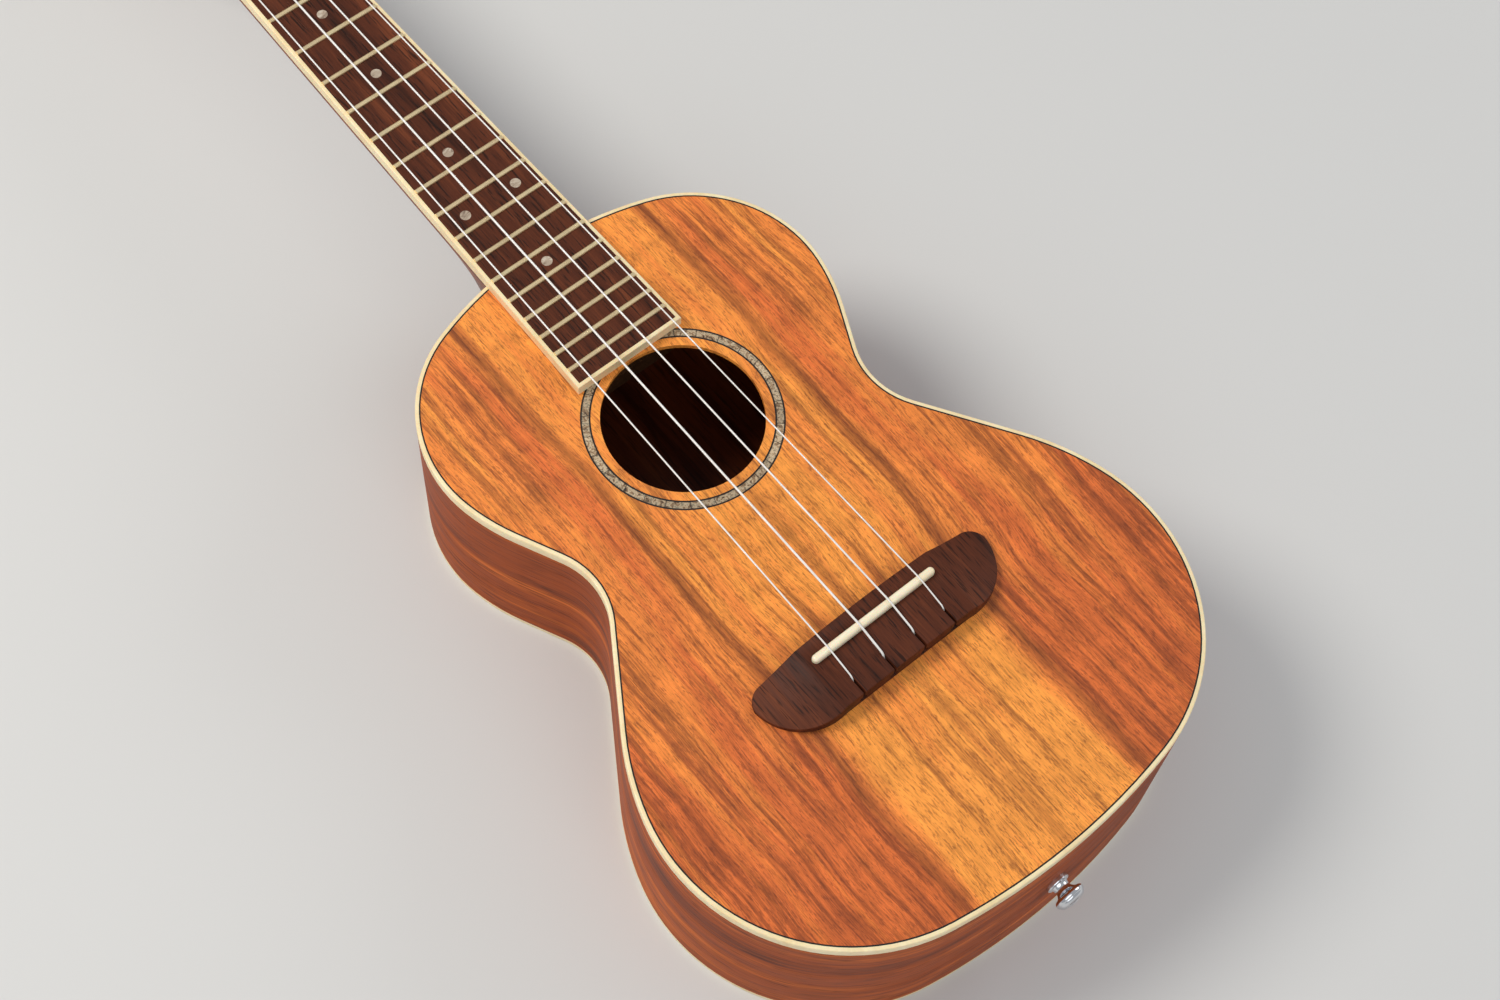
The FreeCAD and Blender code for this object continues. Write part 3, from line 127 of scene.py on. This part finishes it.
class Shader:
    """A node material, built from texture nodes on the object's own coordinates."""

    def __init__(self, name):
        self.material = bpy.data.materials.new(name)
        self.material.use_nodes = True
        self.tree = self.material.node_tree
        self.principled = self.tree.nodes["Principled BSDF"]
        self.coordinates = self.add("ShaderNodeTexCoord").outputs["Object"]

    def add(self, kind, inputs=None, **settings):
        node = self.tree.nodes.new(kind)
        for name, value in settings.items():
            setattr(node, name, value)
        for name, value in (inputs or {}).items():
            self.plug(node.inputs[name], value)
        return node

    def plug(self, socket, value):
        """Links a socket or node, or sets a plain value."""
        if isinstance(value, bpy.types.NodeSocket):
            self.tree.links.new(value, socket)
        elif isinstance(value, bpy.types.Node):
            self.tree.links.new(value.outputs[0], socket)
        else:
            socket.default_value = value

    def stretch(self, scale, vector=None, offset=(0, 0, 0), turn=(0, 0, 0)):
        """Coordinates scaled along each axis, so a texture runs along the smallest."""
        return self.add("ShaderNodeMapping", {"Vector": vector or self.coordinates, "Scale": scale,
                                              "Location": offset, "Rotation": turn}).outputs[0]

    def noise(self, vector, scale, detail=3.0, rough=0.5, warp=0.0):
        return self.add("ShaderNodeTexNoise", {"Vector": vector, "Scale": scale, "Detail": detail,
                                               "Roughness": rough, "Distortion": warp}).outputs["Fac"]

    def ramp(self, value, stops):
        """Stops are (position, colour or grey)."""
        node = self.add("ShaderNodeValToRGB", {"Fac": value})
        node.color_ramp.interpolation = "EASE"
        points = node.color_ramp.elements
        while len(points) < len(stops):
            points.new(0.5)
        for point, (at, colour) in zip(points, stops):
            point.position = at
            point.color = colour if isinstance(colour, tuple) else (colour, colour, colour, 1)
        return node.outputs["Color"]

    def mix(self, share, first, second, blend="MIX"):
        node = self.add("ShaderNodeMix", data_type="RGBA", blend_type=blend)
        self.plug(node.inputs[0], share)
        self.plug(node.inputs[6], first)
        self.plug(node.inputs[7], second)
        return node.outputs[2]

    def math(self, operation, first, second=0.0, third=0.0):
        node = self.add("ShaderNodeMath", operation=operation)
        for socket, value in zip(node.inputs, (first, second, third)):
            self.plug(socket, value)
        return node.outputs[0]

    def bump(self, height, strength, distance):
        return self.add("ShaderNodeBump", {"Height": height, "Strength": strength,
                                           "Distance": distance}).outputs[0]

    def finish(self, inputs):
        for name, value in inputs.items():
            self.plug(self.principled.inputs[name], value)
        return self.material


def colour(red, green, blue):
    """A colour written as 0 to 255 in sRGB, as linear values."""
    def linear(level):
        level /= 255
        return level / 12.92 if level <= 0.04045 else ((level + 0.055) / 1.055) ** 2.4
    return (linear(red), linear(green), linear(blue), 1)


def koa_top():
    """Book-matched figured top: golden in the middle, streaked dark towards the edges.

    Both halves have the same figure.  A thin dark line marks each side of the golden middle, and a
    finer one the joint between the halves.
    """
    middle_half = 44.5 * MM
    line_half = 1.6 * MM
    joint_dark = 0.12 * MM
    joint_half = 0.5 * MM
    s = Shader("koa_top")
    parts = s.add("ShaderNodeSeparateXYZ", {"Vector": s.coordinates})
    across = s.math("ABSOLUTE", parts.outputs["Y"])
    wander = s.math("MULTIPLY_ADD", s.noise(s.stretch((1, 1, 1)), 7.0, 2.0), 0.02, -0.01)
    folded = s.math("ADD", across, wander)
    plane = s.add("ShaderNodeCombineXYZ", {"X": parts.outputs["X"], "Y": folded,
                                           "Z": parts.outputs["Z"]}).outputs[0]
    broad = s.noise(s.stretch((0.12, 1, 0.3), plane, (0.31, 0.02, 0)), 30.0, 3.0, 0.6, 0.4)
    bands = s.noise(s.stretch((0.07, 1, 0.3), plane, (0.1, 0.4, 0)), 110.0, 4.0, 0.65, 0.3)
    lines = s.noise(s.stretch((0.045, 1, 0.2), plane, (0.7, 0.2, 0)), 290.0, 5.0, 0.72, 0.15)
    fibre = s.noise(s.stretch((0.07, 1, 1), plane), 1250.0, 5.0, 0.8)
    pores = s.noise(s.stretch((0.17, 1, 1), plane, (2, 3, 0)), 1700.0, 3.0, 0.65)
    outward = s.ramp(s.math("MULTIPLY", folded, 9.0), [(0.30, 0.0), (0.48, 0.62), (1.0, 0.9)])
    depth = s.math("MULTIPLY_ADD", broad, 1.25, -0.55)
    low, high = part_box("soundboard")
    from_neck = s.math("SUBTRACT", parts.outputs["X"], low.x)
    strength = s.math("MULTIPLY_ADD", from_neck, 0.32 / (high.x - low.x), 0.36)
    depth = s.math("MULTIPLY_ADD", outward, strength, depth)
    depth = s.math("ADD", depth, s.math("MULTIPLY_ADD", bands, 1.0, -0.5))
    tone = s.ramp(depth, [(0.0, colour(252, 160, 68)), (0.30, colour(240, 138, 60)),
                          (0.58, colour(218, 110, 50)), (0.95, colour(160, 72, 34))])
    streak = s.ramp(s.math("ADD", lines, s.math("MULTIPLY", outward, 0.085)),
                    [(0.52, 0.0), (0.67, 1.0)])
    tone = s.mix(s.math("MULTIPLY", streak, 0.6), tone, colour(108, 46, 22))
    from_line = s.math("ABSOLUTE", s.math("SUBTRACT", folded, middle_half))
    seam = s.ramp(from_line, [(0.0, 1.0), (line_half, 0.0)])
    tone = s.mix(s.math("MULTIPLY", seam, 0.6), tone, colour(100, 44, 20))
    joint = s.ramp(across, [(joint_dark, 1.0), (joint_half, 0.0)])
    tone = s.mix(s.math("MULTIPLY", joint, 0.4), tone, colour(130, 62, 28))
    tone = s.mix(0.95, tone, s.ramp(fibre, [(0.32, 0.5), (0.52, 1.0), (0.70, 1.35)]), "MULTIPLY")
    pore = s.ramp(pores, [(0.53, 0.0), (0.63, 1.0)])
    tone = s.mix(s.math("MULTIPLY", pore, 0.5), tone, colour(108, 48, 22))
    sheen = s.ramp(s.noise(s.stretch((1.6, 0.35, 1), plane), 60.0, 2.0), [(0.3, 0.9), (0.7, 1.08)])
    tone = s.mix(1.0, tone, sheen, "MULTIPLY")
    height = s.math("SUBTRACT", s.math("MULTIPLY", fibre, 0.4), pore)
    rough = s.ramp(bands, [(0.3, 0.40), (0.7, 0.52)])
    return s.finish({"Base Color": tone, "Roughness": rough, "Specular IOR Level": 0.35,
                     "Coat Weight": 0.06, "Coat Roughness": 0.3,
                     "Normal": s.bump(height, 0.22, 0.00012)})


def banded_wood(name, tones, slow, bands=150.0, fine=1500.0, pore_scale=900.0, pore_share=0.5,
                rough=(0.36, 0.48), coat=0.15, gloss=0.35, bump=0.2, offset=(0, 0, 0),
                turn=(0, 0, 0), contrast=1.0, inside=None):
    """Wood whose grain runs along the axes that slow stretches.  Tones go dark to light.

    Above the height inside, on the inner face shut in the body, it is darker: painted shade.
    """
    s = Shader(name)
    dark, middle, light = (colour(*tone) for tone in tones)
    soft = tuple(x ** 0.75 for x in slow)
    wide = s.noise(s.stretch(soft, None, offset, turn), bands * 0.22, 3.0, 0.55, 0.4)
    narrow = s.noise(s.stretch(slow, None, offset, turn), bands, 5.0, 0.62, 0.2)
    fibre = s.noise(s.stretch(slow, None, offset, turn), fine, 3.0, 0.6)
    thick = tuple(max(x, 0.07) for x in slow)
    pores = s.noise(s.stretch(thick, None, offset, turn), pore_scale, 2.0, 0.5)
    depth = s.math("ADD", s.math("MULTIPLY", wide, 0.55), s.math("MULTIPLY", narrow, 0.45))
    spread = 0.17 / contrast
    tone = s.ramp(depth, [(0.5 - spread, dark), (0.5, middle), (0.5 + spread, light)])
    tone = s.mix(0.7, tone, s.ramp(fibre, [(0.30, 0.55), (0.52, 1.0), (0.75, 1.3)]), "MULTIPLY")
    pore = s.ramp(pores, [(0.56, 0.0), (0.66, 1.0)])
    deep = tuple(x * 0.35 for x in dark[:3]) + (1,)
    tone = s.mix(s.math("MULTIPLY", pore, pore_share), tone, deep)
    if inside is not None:
        level = s.add("ShaderNodeSeparateXYZ", {"Vector": s.coordinates}).outputs["Z"]
        # painted shade: the inner face, seen through the sound hole, is darkened as if in shadow
        painted_inner_shade = s.mix(1.0, tone, colour(176, 168, 164), "MULTIPLY")
        tone = s.mix(s.math("GREATER_THAN", level, inside), tone, painted_inner_shade)
    height = s.math("SUBTRACT", s.math("MULTIPLY", fibre, 0.4), pore)
    return s.finish({"Base Color": tone,
                     "Roughness": s.ramp(narrow, [(0.3, rough[0]), (0.7, rough[1])]),
                     "Specular IOR Level": gloss, "Coat Weight": coat, "Coat Roughness": 0.28,
                     "Normal": s.bump(height, bump, 0.00012)})


def koa_side():
    return banded_wood("koa_side", ((94, 38, 13), (162, 74, 27), (208, 108, 46)),
                       (0.05, 0.05, 1), bands=150.0, fine=1000.0, contrast=1.25,
                       rough=(0.5, 0.62), coat=0.0, gloss=0.15)


def koa_back():
    # the back's inner face gets painted shade, above the height given as inside
    return banded_wood("koa_back", ((96, 40, 18), (160, 78, 36), (208, 116, 54)),
                       (0.05, 1, 0.3), bands=85.0, fine=1000.0, contrast=1.3, coat=0.06,
                       offset=(3, 5, 1), inside=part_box("back_plate")[1].z - 0.1 * MM)


def mahogany():
    return banded_wood("mahogany", ((92, 42, 22), (134, 66, 36), (162, 86, 48)),
                       (0.04, 1, 0.8), bands=110.0, pore_scale=1000.0, contrast=0.8,
                       turn=(0, math.radians(3), 0), coat=0.1)


def rosewood():
    return banded_wood("rosewood", ((42, 18, 9), (84, 40, 22), (116, 60, 34)),
                       (0.04, 1, 0.8), bands=260.0, fine=2200.0, pore_scale=1300.0,
                       pore_share=0.75, rough=(0.5, 0.64), coat=0.0, gloss=0.2, bump=0.35,
                       contrast=1.1)


def spruce():
    # dark tones are painted shade: the spruce braces sit in the shadow inside the body
    return banded_wood("spruce", ((84, 54, 32), (118, 80, 50), (140, 98, 62)),
                       (0.03, 1, 0.6), bands=420.0, coat=0.0, rough=(0.6, 0.7), pore_share=0.2)


def dowel():
    return banded_wood("dowel", ((150, 110, 70), (188, 146, 98), (206, 168, 118)),
                       (0.03, 1, 1), bands=500.0, coat=0.0, rough=(0.6, 0.7), pore_share=0.2)


def plastic(name, base, other, scale, rough, coat=0.0, stretch=(1, 1, 1), scatter=0.0):
    """A cloudy moulded or polished material between two colours."""
    s = Shader(name)
    cloud = s.noise(s.stretch(stretch), scale, 4.0, 0.6, 0.6)
    speck = s.noise(s.stretch(stretch), scale * 12, 2.0)
    tone = s.mix(s.ramp(cloud, [(0.35, 0.0), (0.68, 1.0)]), colour(*base), colour(*other))
    tone = s.mix(0.25, tone, s.ramp(speck, [(0.3, 0.85), (0.7, 1.1)]), "MULTIPLY")
    return s.finish({"Base Color": tone, "Roughness": s.ramp(cloud, [(0.2, rough), (0.8, rough + 0.1)]),
                     "Coat Weight": coat, "Coat Roughness": 0.12, "Subsurface Weight": scatter,
                     "Subsurface Scale": 0.002, "Normal": s.bump(speck, 0.05, 0.0001)})


def cream_binding():
    return plastic("cream_binding", (250, 230, 186), (241, 216, 166), 60.0, 0.36, 0.1,
                   scatter=0.12)


def black_purfling():
    return plastic("black_purfling", (9, 7, 6), (22, 16, 12), 200.0, 0.7)


def bone():
    return plastic("bone", (252, 242, 214), (242, 226, 190), 120.0, 0.35, 0.15,
                   stretch=(1, 0.2, 1), scatter=0.15)


def cream_button():
    return plastic("cream_button", (242, 230, 202), (232, 214, 178), 420.0, 0.22, 0.5,
                   stretch=(1, 0.5, 1), scatter=0.1)


def pearl():
    """Grey-tan shell with soft bands of light."""
    s = Shader("pearl")
    sweep = s.noise(s.stretch((1, 0.45, 1)), 420.0, 3.0, 0.6, 1.2)
    tone = s.ramp(sweep, [(0.30, colour(128, 108, 92)), (0.5, colour(176, 158, 138)),
                          (0.68, colour(206, 194, 176))])
    return s.finish({"Base Color": tone, "Roughness": s.ramp(sweep, [(0.3, 0.22), (0.7, 0.36)]),
                     "Coat Weight": 0.4, "Coat Roughness": 0.1,
                     "Normal": s.bump(sweep, 0.05, 0.0001)})


def abalone():
    """Shell segments round the sound hole, each with its own tone, and dark flecks."""
    low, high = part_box("rosette_inlay")
    middle = (low + high) / 2
    segments = 26
    s = Shader("abalone")
    local = s.add("ShaderNodeVectorMath", {0: s.coordinates, 1: middle}, operation="SUBTRACT")
    parts = s.add("ShaderNodeSeparateXYZ", {"Vector": local.outputs[0]})
    angle = s.math("ARCTAN2", parts.outputs["Y"], parts.outputs["X"])
    turns = s.math("MULTIPLY", angle, segments / (2 * math.pi))
    jitter = s.math("MULTIPLY", s.noise(s.stretch((1, 1, 1)), 60.0, 1.0), 0.8)
    place = s.math("ADD", turns, jitter)
    index = s.math("FLOOR", place)
    lot = s.add("ShaderNodeTexWhiteNoise", {"W": index}, noise_dimensions="1D").outputs["Value"]
    shift = s.add("ShaderNodeCombineXYZ", {"X": lot, "Y": lot, "Z": index}).outputs[0]
    moved = s.add("ShaderNodeVectorMath", {0: s.coordinates, 1: shift}, operation="ADD").outputs[0]
    cloud = s.noise(s.stretch((1, 1, 1), moved), 330.0, 4.0, 0.65, 1.6)
    tone = s.ramp(cloud, [(0.30, colour(66, 50, 38)), (0.42, colour(146, 118, 88)),
                          (0.53, colour(204, 182, 150)), (0.63, colour(138, 128, 106)),
                          (0.76, colour(206, 168, 130))])
    tone = s.mix(0.6, tone, s.ramp(lot, [(0.0, 0.66), (1.0, 1.2)]), "MULTIPLY")
    fleck = s.ramp(s.noise(s.stretch((1, 1, 1), moved), 900.0, 3.0, 0.6), [(0.55, 0.0), (0.64, 1.0)])
    tone = s.mix(s.math("MULTIPLY", fleck, 0.7), tone, colour(56, 42, 34))
    gap = s.math("ABSOLUTE", s.math("SUBTRACT", s.math("FRACT", place), 0.5))
    line = s.ramp(gap, [(0.475, 0.0), (0.49, 1.0)])
    tone = s.mix(s.math("MULTIPLY", line, 0.85), tone, colour(40, 32, 26))
    flat = s.add("ShaderNodeVectorMath", {0: local.outputs[0], 1: (1, 1, 0)}, operation="MULTIPLY")
    radius = s.add("ShaderNodeVectorMath", {0: flat.outputs[0]}, operation="LENGTH").outputs["Value"]
    outer = (high.x - low.x) / 2
    inner = min((vert.co.xy - middle.xy).length for vert in nodes["rosette_inlay"].data.vertices)
    rim = s.math("ABSOLUTE", s.math("SUBTRACT", radius, (outer + inner) / 2))
    glue = s.ramp(s.math("MULTIPLY", rim, 1 / (outer - inner)), [(0.40, 0.0), (0.47, 1.0)])
    tone = s.mix(s.math("MULTIPLY", glue, 0.9), tone, colour(16, 12, 10))
    return s.finish({"Base Color": tone, "Roughness": s.ramp(cloud, [(0.3, 0.2), (0.7, 0.36)]),
                     "Coat Weight": 0.2, "Coat Roughness": 0.1,
                     "Normal": s.bump(cloud, 0.05, 0.0001)})


def metal(name, base, rough, scale=500.0, stretch=(1, 1, 1), smear=0.1):
    """Metal with faint polishing marks along the stretched axis."""
    s = Shader(name)
    marks = s.noise(s.stretch(stretch), scale, 4.0, 0.6)
    stain = s.noise(s.stretch((1, 1, 1)), 90.0, 2.0)
    tone = s.mix(0.5, colour(*base), s.ramp(stain, [(0.3, 0.82), (0.7, 1.1)]), "MULTIPLY")
    return s.finish({"Base Color": tone, "Metallic": 1.0,
                     "Roughness": s.ramp(marks, [(0.25, rough), (0.75, rough + smear)]),
                     "Normal": s.bump(marks, 0.04, 0.00005)})


def fret_wire():
    return metal("fret_wire", (255, 232, 186), 0.4, 900.0, (1, 0.1, 1))


def chrome():
    return metal("chrome", (222, 224, 228), 0.08, 300.0, smear=0.06)


def steel():
    return metal("steel", (170, 170, 172), 0.26, 900.0, (1, 0.2, 1))


def brass_gear():
    return metal("brass_gear", (212, 168, 92), 0.26, 700.0)


def nylon():
    """Clear nylon: pale, glossy and a little see-through."""
    s = Shader("nylon")
    haze = s.noise(s.stretch((0.2, 1, 1)), 700.0, 2.0)
    return s.finish({"Base Color": s.ramp(haze, [(0.3, colour(240, 237, 231)),
                                                 (0.7, colour(253, 251, 247))]),
                     "Roughness": s.ramp(haze, [(0.3, 0.18), (0.7, 0.26)]), "IOR": 1.53,
                     "Transmission Weight": 0.1, "Coat Weight": 0.3, "Coat Roughness": 0.1})


MAKERS = (koa_top, koa_side, koa_back, mahogany, rosewood, spruce, dowel, cream_binding,
          black_purfling, bone, cream_button, pearl, abalone, fret_wire, chrome, steel,
          brass_gear, nylon)


def paint_nodes():
    """Gives every CAD node the material of its slot.  Returns the materials and the slots."""
    made = {make.__name__: make() for make in MAKERS}
    slots = {part["node"]: part["material_slot"] for part in frame["record"]["subparts"]}
    for name, item in nodes.items():
        item.data.materials.clear()
        item.data.materials.append(made[slots[name]])
    return made, slots


# Pieces made here -----------------------------------------------------------------

def link(name, mesh, slot):
    """A new object in the scene, with the material of a slot."""
    piece = bpy.data.objects.new(name, mesh)
    bpy.context.scene.collection.objects.link(piece)
    mesh.materials.clear()
    mesh.materials.append(materials[slot])
    return piece


def soften(node, width, choose=None, steps=2, least=40):
    """A copy of a CAD node with its edges over least degrees rounded, shown in its place."""
    source = nodes[node]
    work = bmesh.new()
    work.from_mesh(source.data)
    bmesh.ops.remove_doubles(work, verts=work.verts, dist=1e-6)
    bmesh.ops.dissolve_limit(work, angle_limit=math.radians(0.6), verts=work.verts,
                             edges=work.edges)
    sharp = [edge for edge in work.edges
             if len(edge.link_faces) == 2 and edge.calc_face_angle(0) > math.radians(least)
             and (choose is None or choose(edge))]
    bmesh.ops.bevel(work, geom=sharp, offset=width, segments=steps, profile=0.5, affect="EDGES",
                    clamp_overlap=True)
    mesh = bpy.data.meshes.new(f"{node}_rounded")
    work.to_mesh(mesh)
    work.free()
    mesh.shade_smooth()
    mesh.set_sharp_from_angle(angle=math.radians(32))
    piece = link(f"{node}_rounded", mesh, slots[node])
    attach(piece, source["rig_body"])
    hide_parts(node)


def outer_rim(middle):
    """Chooses the edges where a flat face meets a wall that looks away from the middle."""
    def choose(edge):
        walls = [face for face in edge.link_faces if abs(face.normal.z) < 0.5]
        place = (edge.verts[0].co + edge.verts[1].co) / 2
        return len(walls) == 1 and walls[0].normal.dot(place - middle) > 0
    return choose


def soften_nodes():
    """Rounds the edges of the pieces whose edges show.

    On the neck, only the headstock's end is rounded, up to the nut.
    """
    body = sum(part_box("top_binding"), Vector()) / 2
    board = sum(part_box("fingerboard_binding"), Vector()) / 2
    soften("top_binding", 0.5 * MM, outer_rim(body), 3)
    soften("back_binding", 0.4 * MM, outer_rim(body), 3)
    soften("fingerboard_binding", 0.35 * MM, outer_rim(board))
    soften("bridge", 0.35 * MM)
    soften("nut", 0.3 * MM)
    soften("headstock_veneer", 0.25 * MM)
    soften("heel_cap", 0.3 * MM)
    nut_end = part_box("nut")[0].x
    soften("neck", 0.5 * MM, lambda edge: edge.verts[0].co.x < nut_end, 3, 25)
    for letter in LETTERS:
        soften(f"tuner_housing_{letter}", 0.25 * MM)


def tube(name, path, radius, slot, body, closed=False):
    """A round strand along a path, with domed ends unless it is closed."""
    sides = 10
    dome = 3
    count = len(path)
    rings = []
    side = (path[1] - path[0]).orthogonal().normalized()
    for index, centre in enumerate(path):
        ahead = path[(index + 1) % count] if closed else path[min(index + 1, count - 1)]
        behind = path[index - 1] if closed else path[max(index - 1, 0)]
        along = (ahead - behind).normalized()
        side = (side - along * side.dot(along)).normalized()
        rings.append((centre, along, side, radius))
    if not closed:
        for end, hand in ((0, -1), (-1, 1)):
            centre, along, side, _ = rings[end]
            caps = []
            for step in range(1, dome + 1):
                lean = math.pi / 2 * step / (dome + 1)
                caps.append((centre + along * (hand * radius * math.sin(lean)), along, side,
                             radius * math.cos(lean)))
            rings = caps[::-1] + rings if end == 0 else rings + caps
    work = bmesh.new()
    loops = []
    for centre, along, side, reach in rings:
        other = along.cross(side)
        turns = [2 * math.pi * n / sides for n in range(sides)]
        loops.append([work.verts.new(centre + (side * math.cos(t) + other * math.sin(t)) * reach)
                      for t in turns])
    pairs = list(zip(loops, loops[1:]))
    if closed:
        first, last = loops[0], loops[-1]
        twist = min(range(sides), key=lambda n: (first[n].co - last[0].co).length)
        pairs.append((last, first[twist:] + first[:twist]))
    for near, far in pairs:
        for n in range(sides):
            m = (n + 1) % sides
            work.faces.new((near[n], near[m], far[m], far[n]))
    if not closed:
        work.faces.new(loops[0][::-1])
        work.faces.new(loops[-1])
    bmesh.ops.recalc_face_normals(work, faces=work.faces)
    mesh = bpy.data.meshes.new(name)
    work.to_mesh(mesh)
    work.free()
    mesh.shade_smooth()
    piece = link(name, mesh, slot)
    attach(piece, body)
    return piece


def islands(mesh):
    """The points of each separate solid in a mesh."""
    work = bmesh.new()
    work.from_mesh(mesh)
    bmesh.ops.remove_doubles(work, verts=work.verts, dist=1e-6)
    left = set(work.verts)
    found = []
    while left:
        reached = {left.pop()}
        waiting = list(reached)
        while waiting:
            vert = waiting.pop()
            for neighbour in (edge.other_vert(vert) for edge in vert.link_edges):
                if neighbour in left:
                    left.discard(neighbour)
                    reached.add(neighbour)
                    waiting.append(neighbour)
        found.append([vert.co.copy() for vert in reached])
    work.free()
    return found


def rod_ends(points):
    """The two end centres of a round bar, lowest x first, from the points of its rings."""
    start = max(points, key=lambda p: (p - points[0]).length)
    finish = max(points, key=lambda p: (p - start).length)
    halves = ([p for p in points if (p - start).length < (p - finish).length],
              [p for p in points if (p - start).length >= (p - finish).length])
    return sorted((sum(half, Vector()) / len(half) for half in halves), key=lambda p: p.x)


def rounded_path(stops, reach, steps=5):
    """The path through stops, with each corner eased over a reach on both sides."""
    path = [stops[0]]
    for before, at, after in zip(stops, stops[1:], stops[2:]):
        near = at + (before - at).normalized() * min(reach, (before - at).length * 0.45)
        far = at + (after - at).normalized() * min(reach, (after - at).length * 0.45)
        for step in range(steps + 1):
            t = step / steps
            path.append(near * (1 - t) ** 2 + at * (2 * t * (1 - t)) + far * t ** 2)
    return path + [stops[-1]]


def post_axis(letter):
    """A tuning post's joint axis: a point on it and its direction."""
    joint = next(j for j in frame["joints"] if j["name"] == f"post_turn_{letter}")
    return Vector(joint["pos_m"]), Vector(joint["axis"]).normalized()


def heights(node, base, up):
    """The lowest and highest reach of a node along an axis."""
    levels = [(vert.co - base).dot(up) for vert in nodes[node].data.vertices]
    return min(levels), max(levels)


def last_turn(letter, on_post, nut, radius):
    """The string's last turn round its post, from the inside out to where it leaves for the nut."""
    turn = 5.6
    steps = 26
    rise = 0.8 * MM
    base, up = post_axis(letter)
    arm = on_post - base
    level = up * arm.dot(up)
    arm -= level
    heading = (nut - on_post).normalized()
    hand = 1 if up.cross(arm).dot(heading) > 0 else -1
    sink = radius * 1.5 / arm.length
    path = []
    for step in range(steps, 0, -1):
        share = step / steps
        spin = Matrix.Rotation(-hand * turn * share, 3, up)
        path.append(base + level + up * (rise * share) + spin @ (arm * (1 - share ** 2 * sink)))
    return path


def make_knot(letter, centre, radius, strand):
    """A trefoil knot where the string ends behind the bridge."""
    steps = 48
    wide = 0.42 * MM
    tall = 0.8 * wide
    path = []
    for step in range(steps):
        t = 2 * math.pi * step / steps
        path.append(centre + Vector((-math.sin(3 * t) * wide,
                                     (math.sin(t) + 2 * math.sin(2 * t)) * tall,
                                     (math.cos(t) - 2 * math.cos(2 * t)) * tall)))
    knot = tube(f"string_{letter}_knot", path, radius, "nylon", "root", closed=True)
    knot.parent = strand


def make_string(letter):
    """One string: a last turn round its post, over nut and saddle, and down into the bridge."""
    knot_tall = 2.4 * MM
    knot_middle = 1.4 * MM
    bend = 1.6 * MM
    solids = sorted(islands(nodes[f"string_{letter}"].data), key=lambda pts: min(p.x for p in pts))
    neck_run, long_run, short_run, tail = solids
    on_post, nut = rod_ends(neck_run)
    saddle = rod_ends(long_run)[1]
    entry = rod_ends(short_run)[1]
    low = min(p.z for p in tail)
    ball = [p for p in tail if p.z < low + knot_tall]
    knot = Vector((sum(p.x for p in ball) / len(ball), entry.y, low + knot_middle))
    radius = min((p - nut).length for p in neck_run)
    path = last_turn(letter, on_post, nut, radius)
    path += rounded_path([on_post, nut, saddle, entry, knot], bend)
    strand = tube(f"string_{letter}_strand", path, radius, "nylon", "root")
    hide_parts(f"string_{letter}")
    make_knot(letter, knot, radius, strand)
    return radius


def make_windings(letter, radius):
    """The turns wound on a post, and the end that passes through the post's hole."""
    post = 3 * MM
    hole_below_top = 3 * MM
    climb_below_hole = 0.5 * MM
    overhang = 1.8 * MM
    turn_steps = 28
    base, up = post_axis(letter)
    side = Vector((0, 1, 0))
    other = side.cross(up).normalized()
    low, high = heights(f"string_wrap_{letter}", base, up)
    hole = heights(f"tuner_post_{letter}", base, up)[1] - hole_below_top
    wire = min(radius, 0.4 * MM)
    climb = high - low - 2 * wire
    turns = climb / (2.05 * wire)
    steps = int(turns * turn_steps)
    path = []
    for step in range(steps + 1):
        share = step / steps
        angle = 2 * math.pi * turns * (share - 1)
        level = low + wire + climb * share
        path.append(base + up * level + (side * math.cos(angle) + other * math.sin(angle))
                    * (post + wire))
    stops = [path[-1],
             base + up * (hole - climb_below_hole) + side * (post + wire),
             base + up * hole + side * (post * 0.7),
             base + up * hole - side * (post + overhang)]
    path += rounded_path(stops, 1.0 * MM)[1:]
    piece = tube(f"string_windings_{letter}", path, wire, "nylon", f"post_{letter}")
    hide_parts(f"string_wrap_{letter}")


# Run --------------------------------------------------------------------------------

make_camera()
make_studio()
materials, slots = paint_nodes()
soften_nodes()
for letter in LETTERS:
    make_windings(letter, make_string(letter))
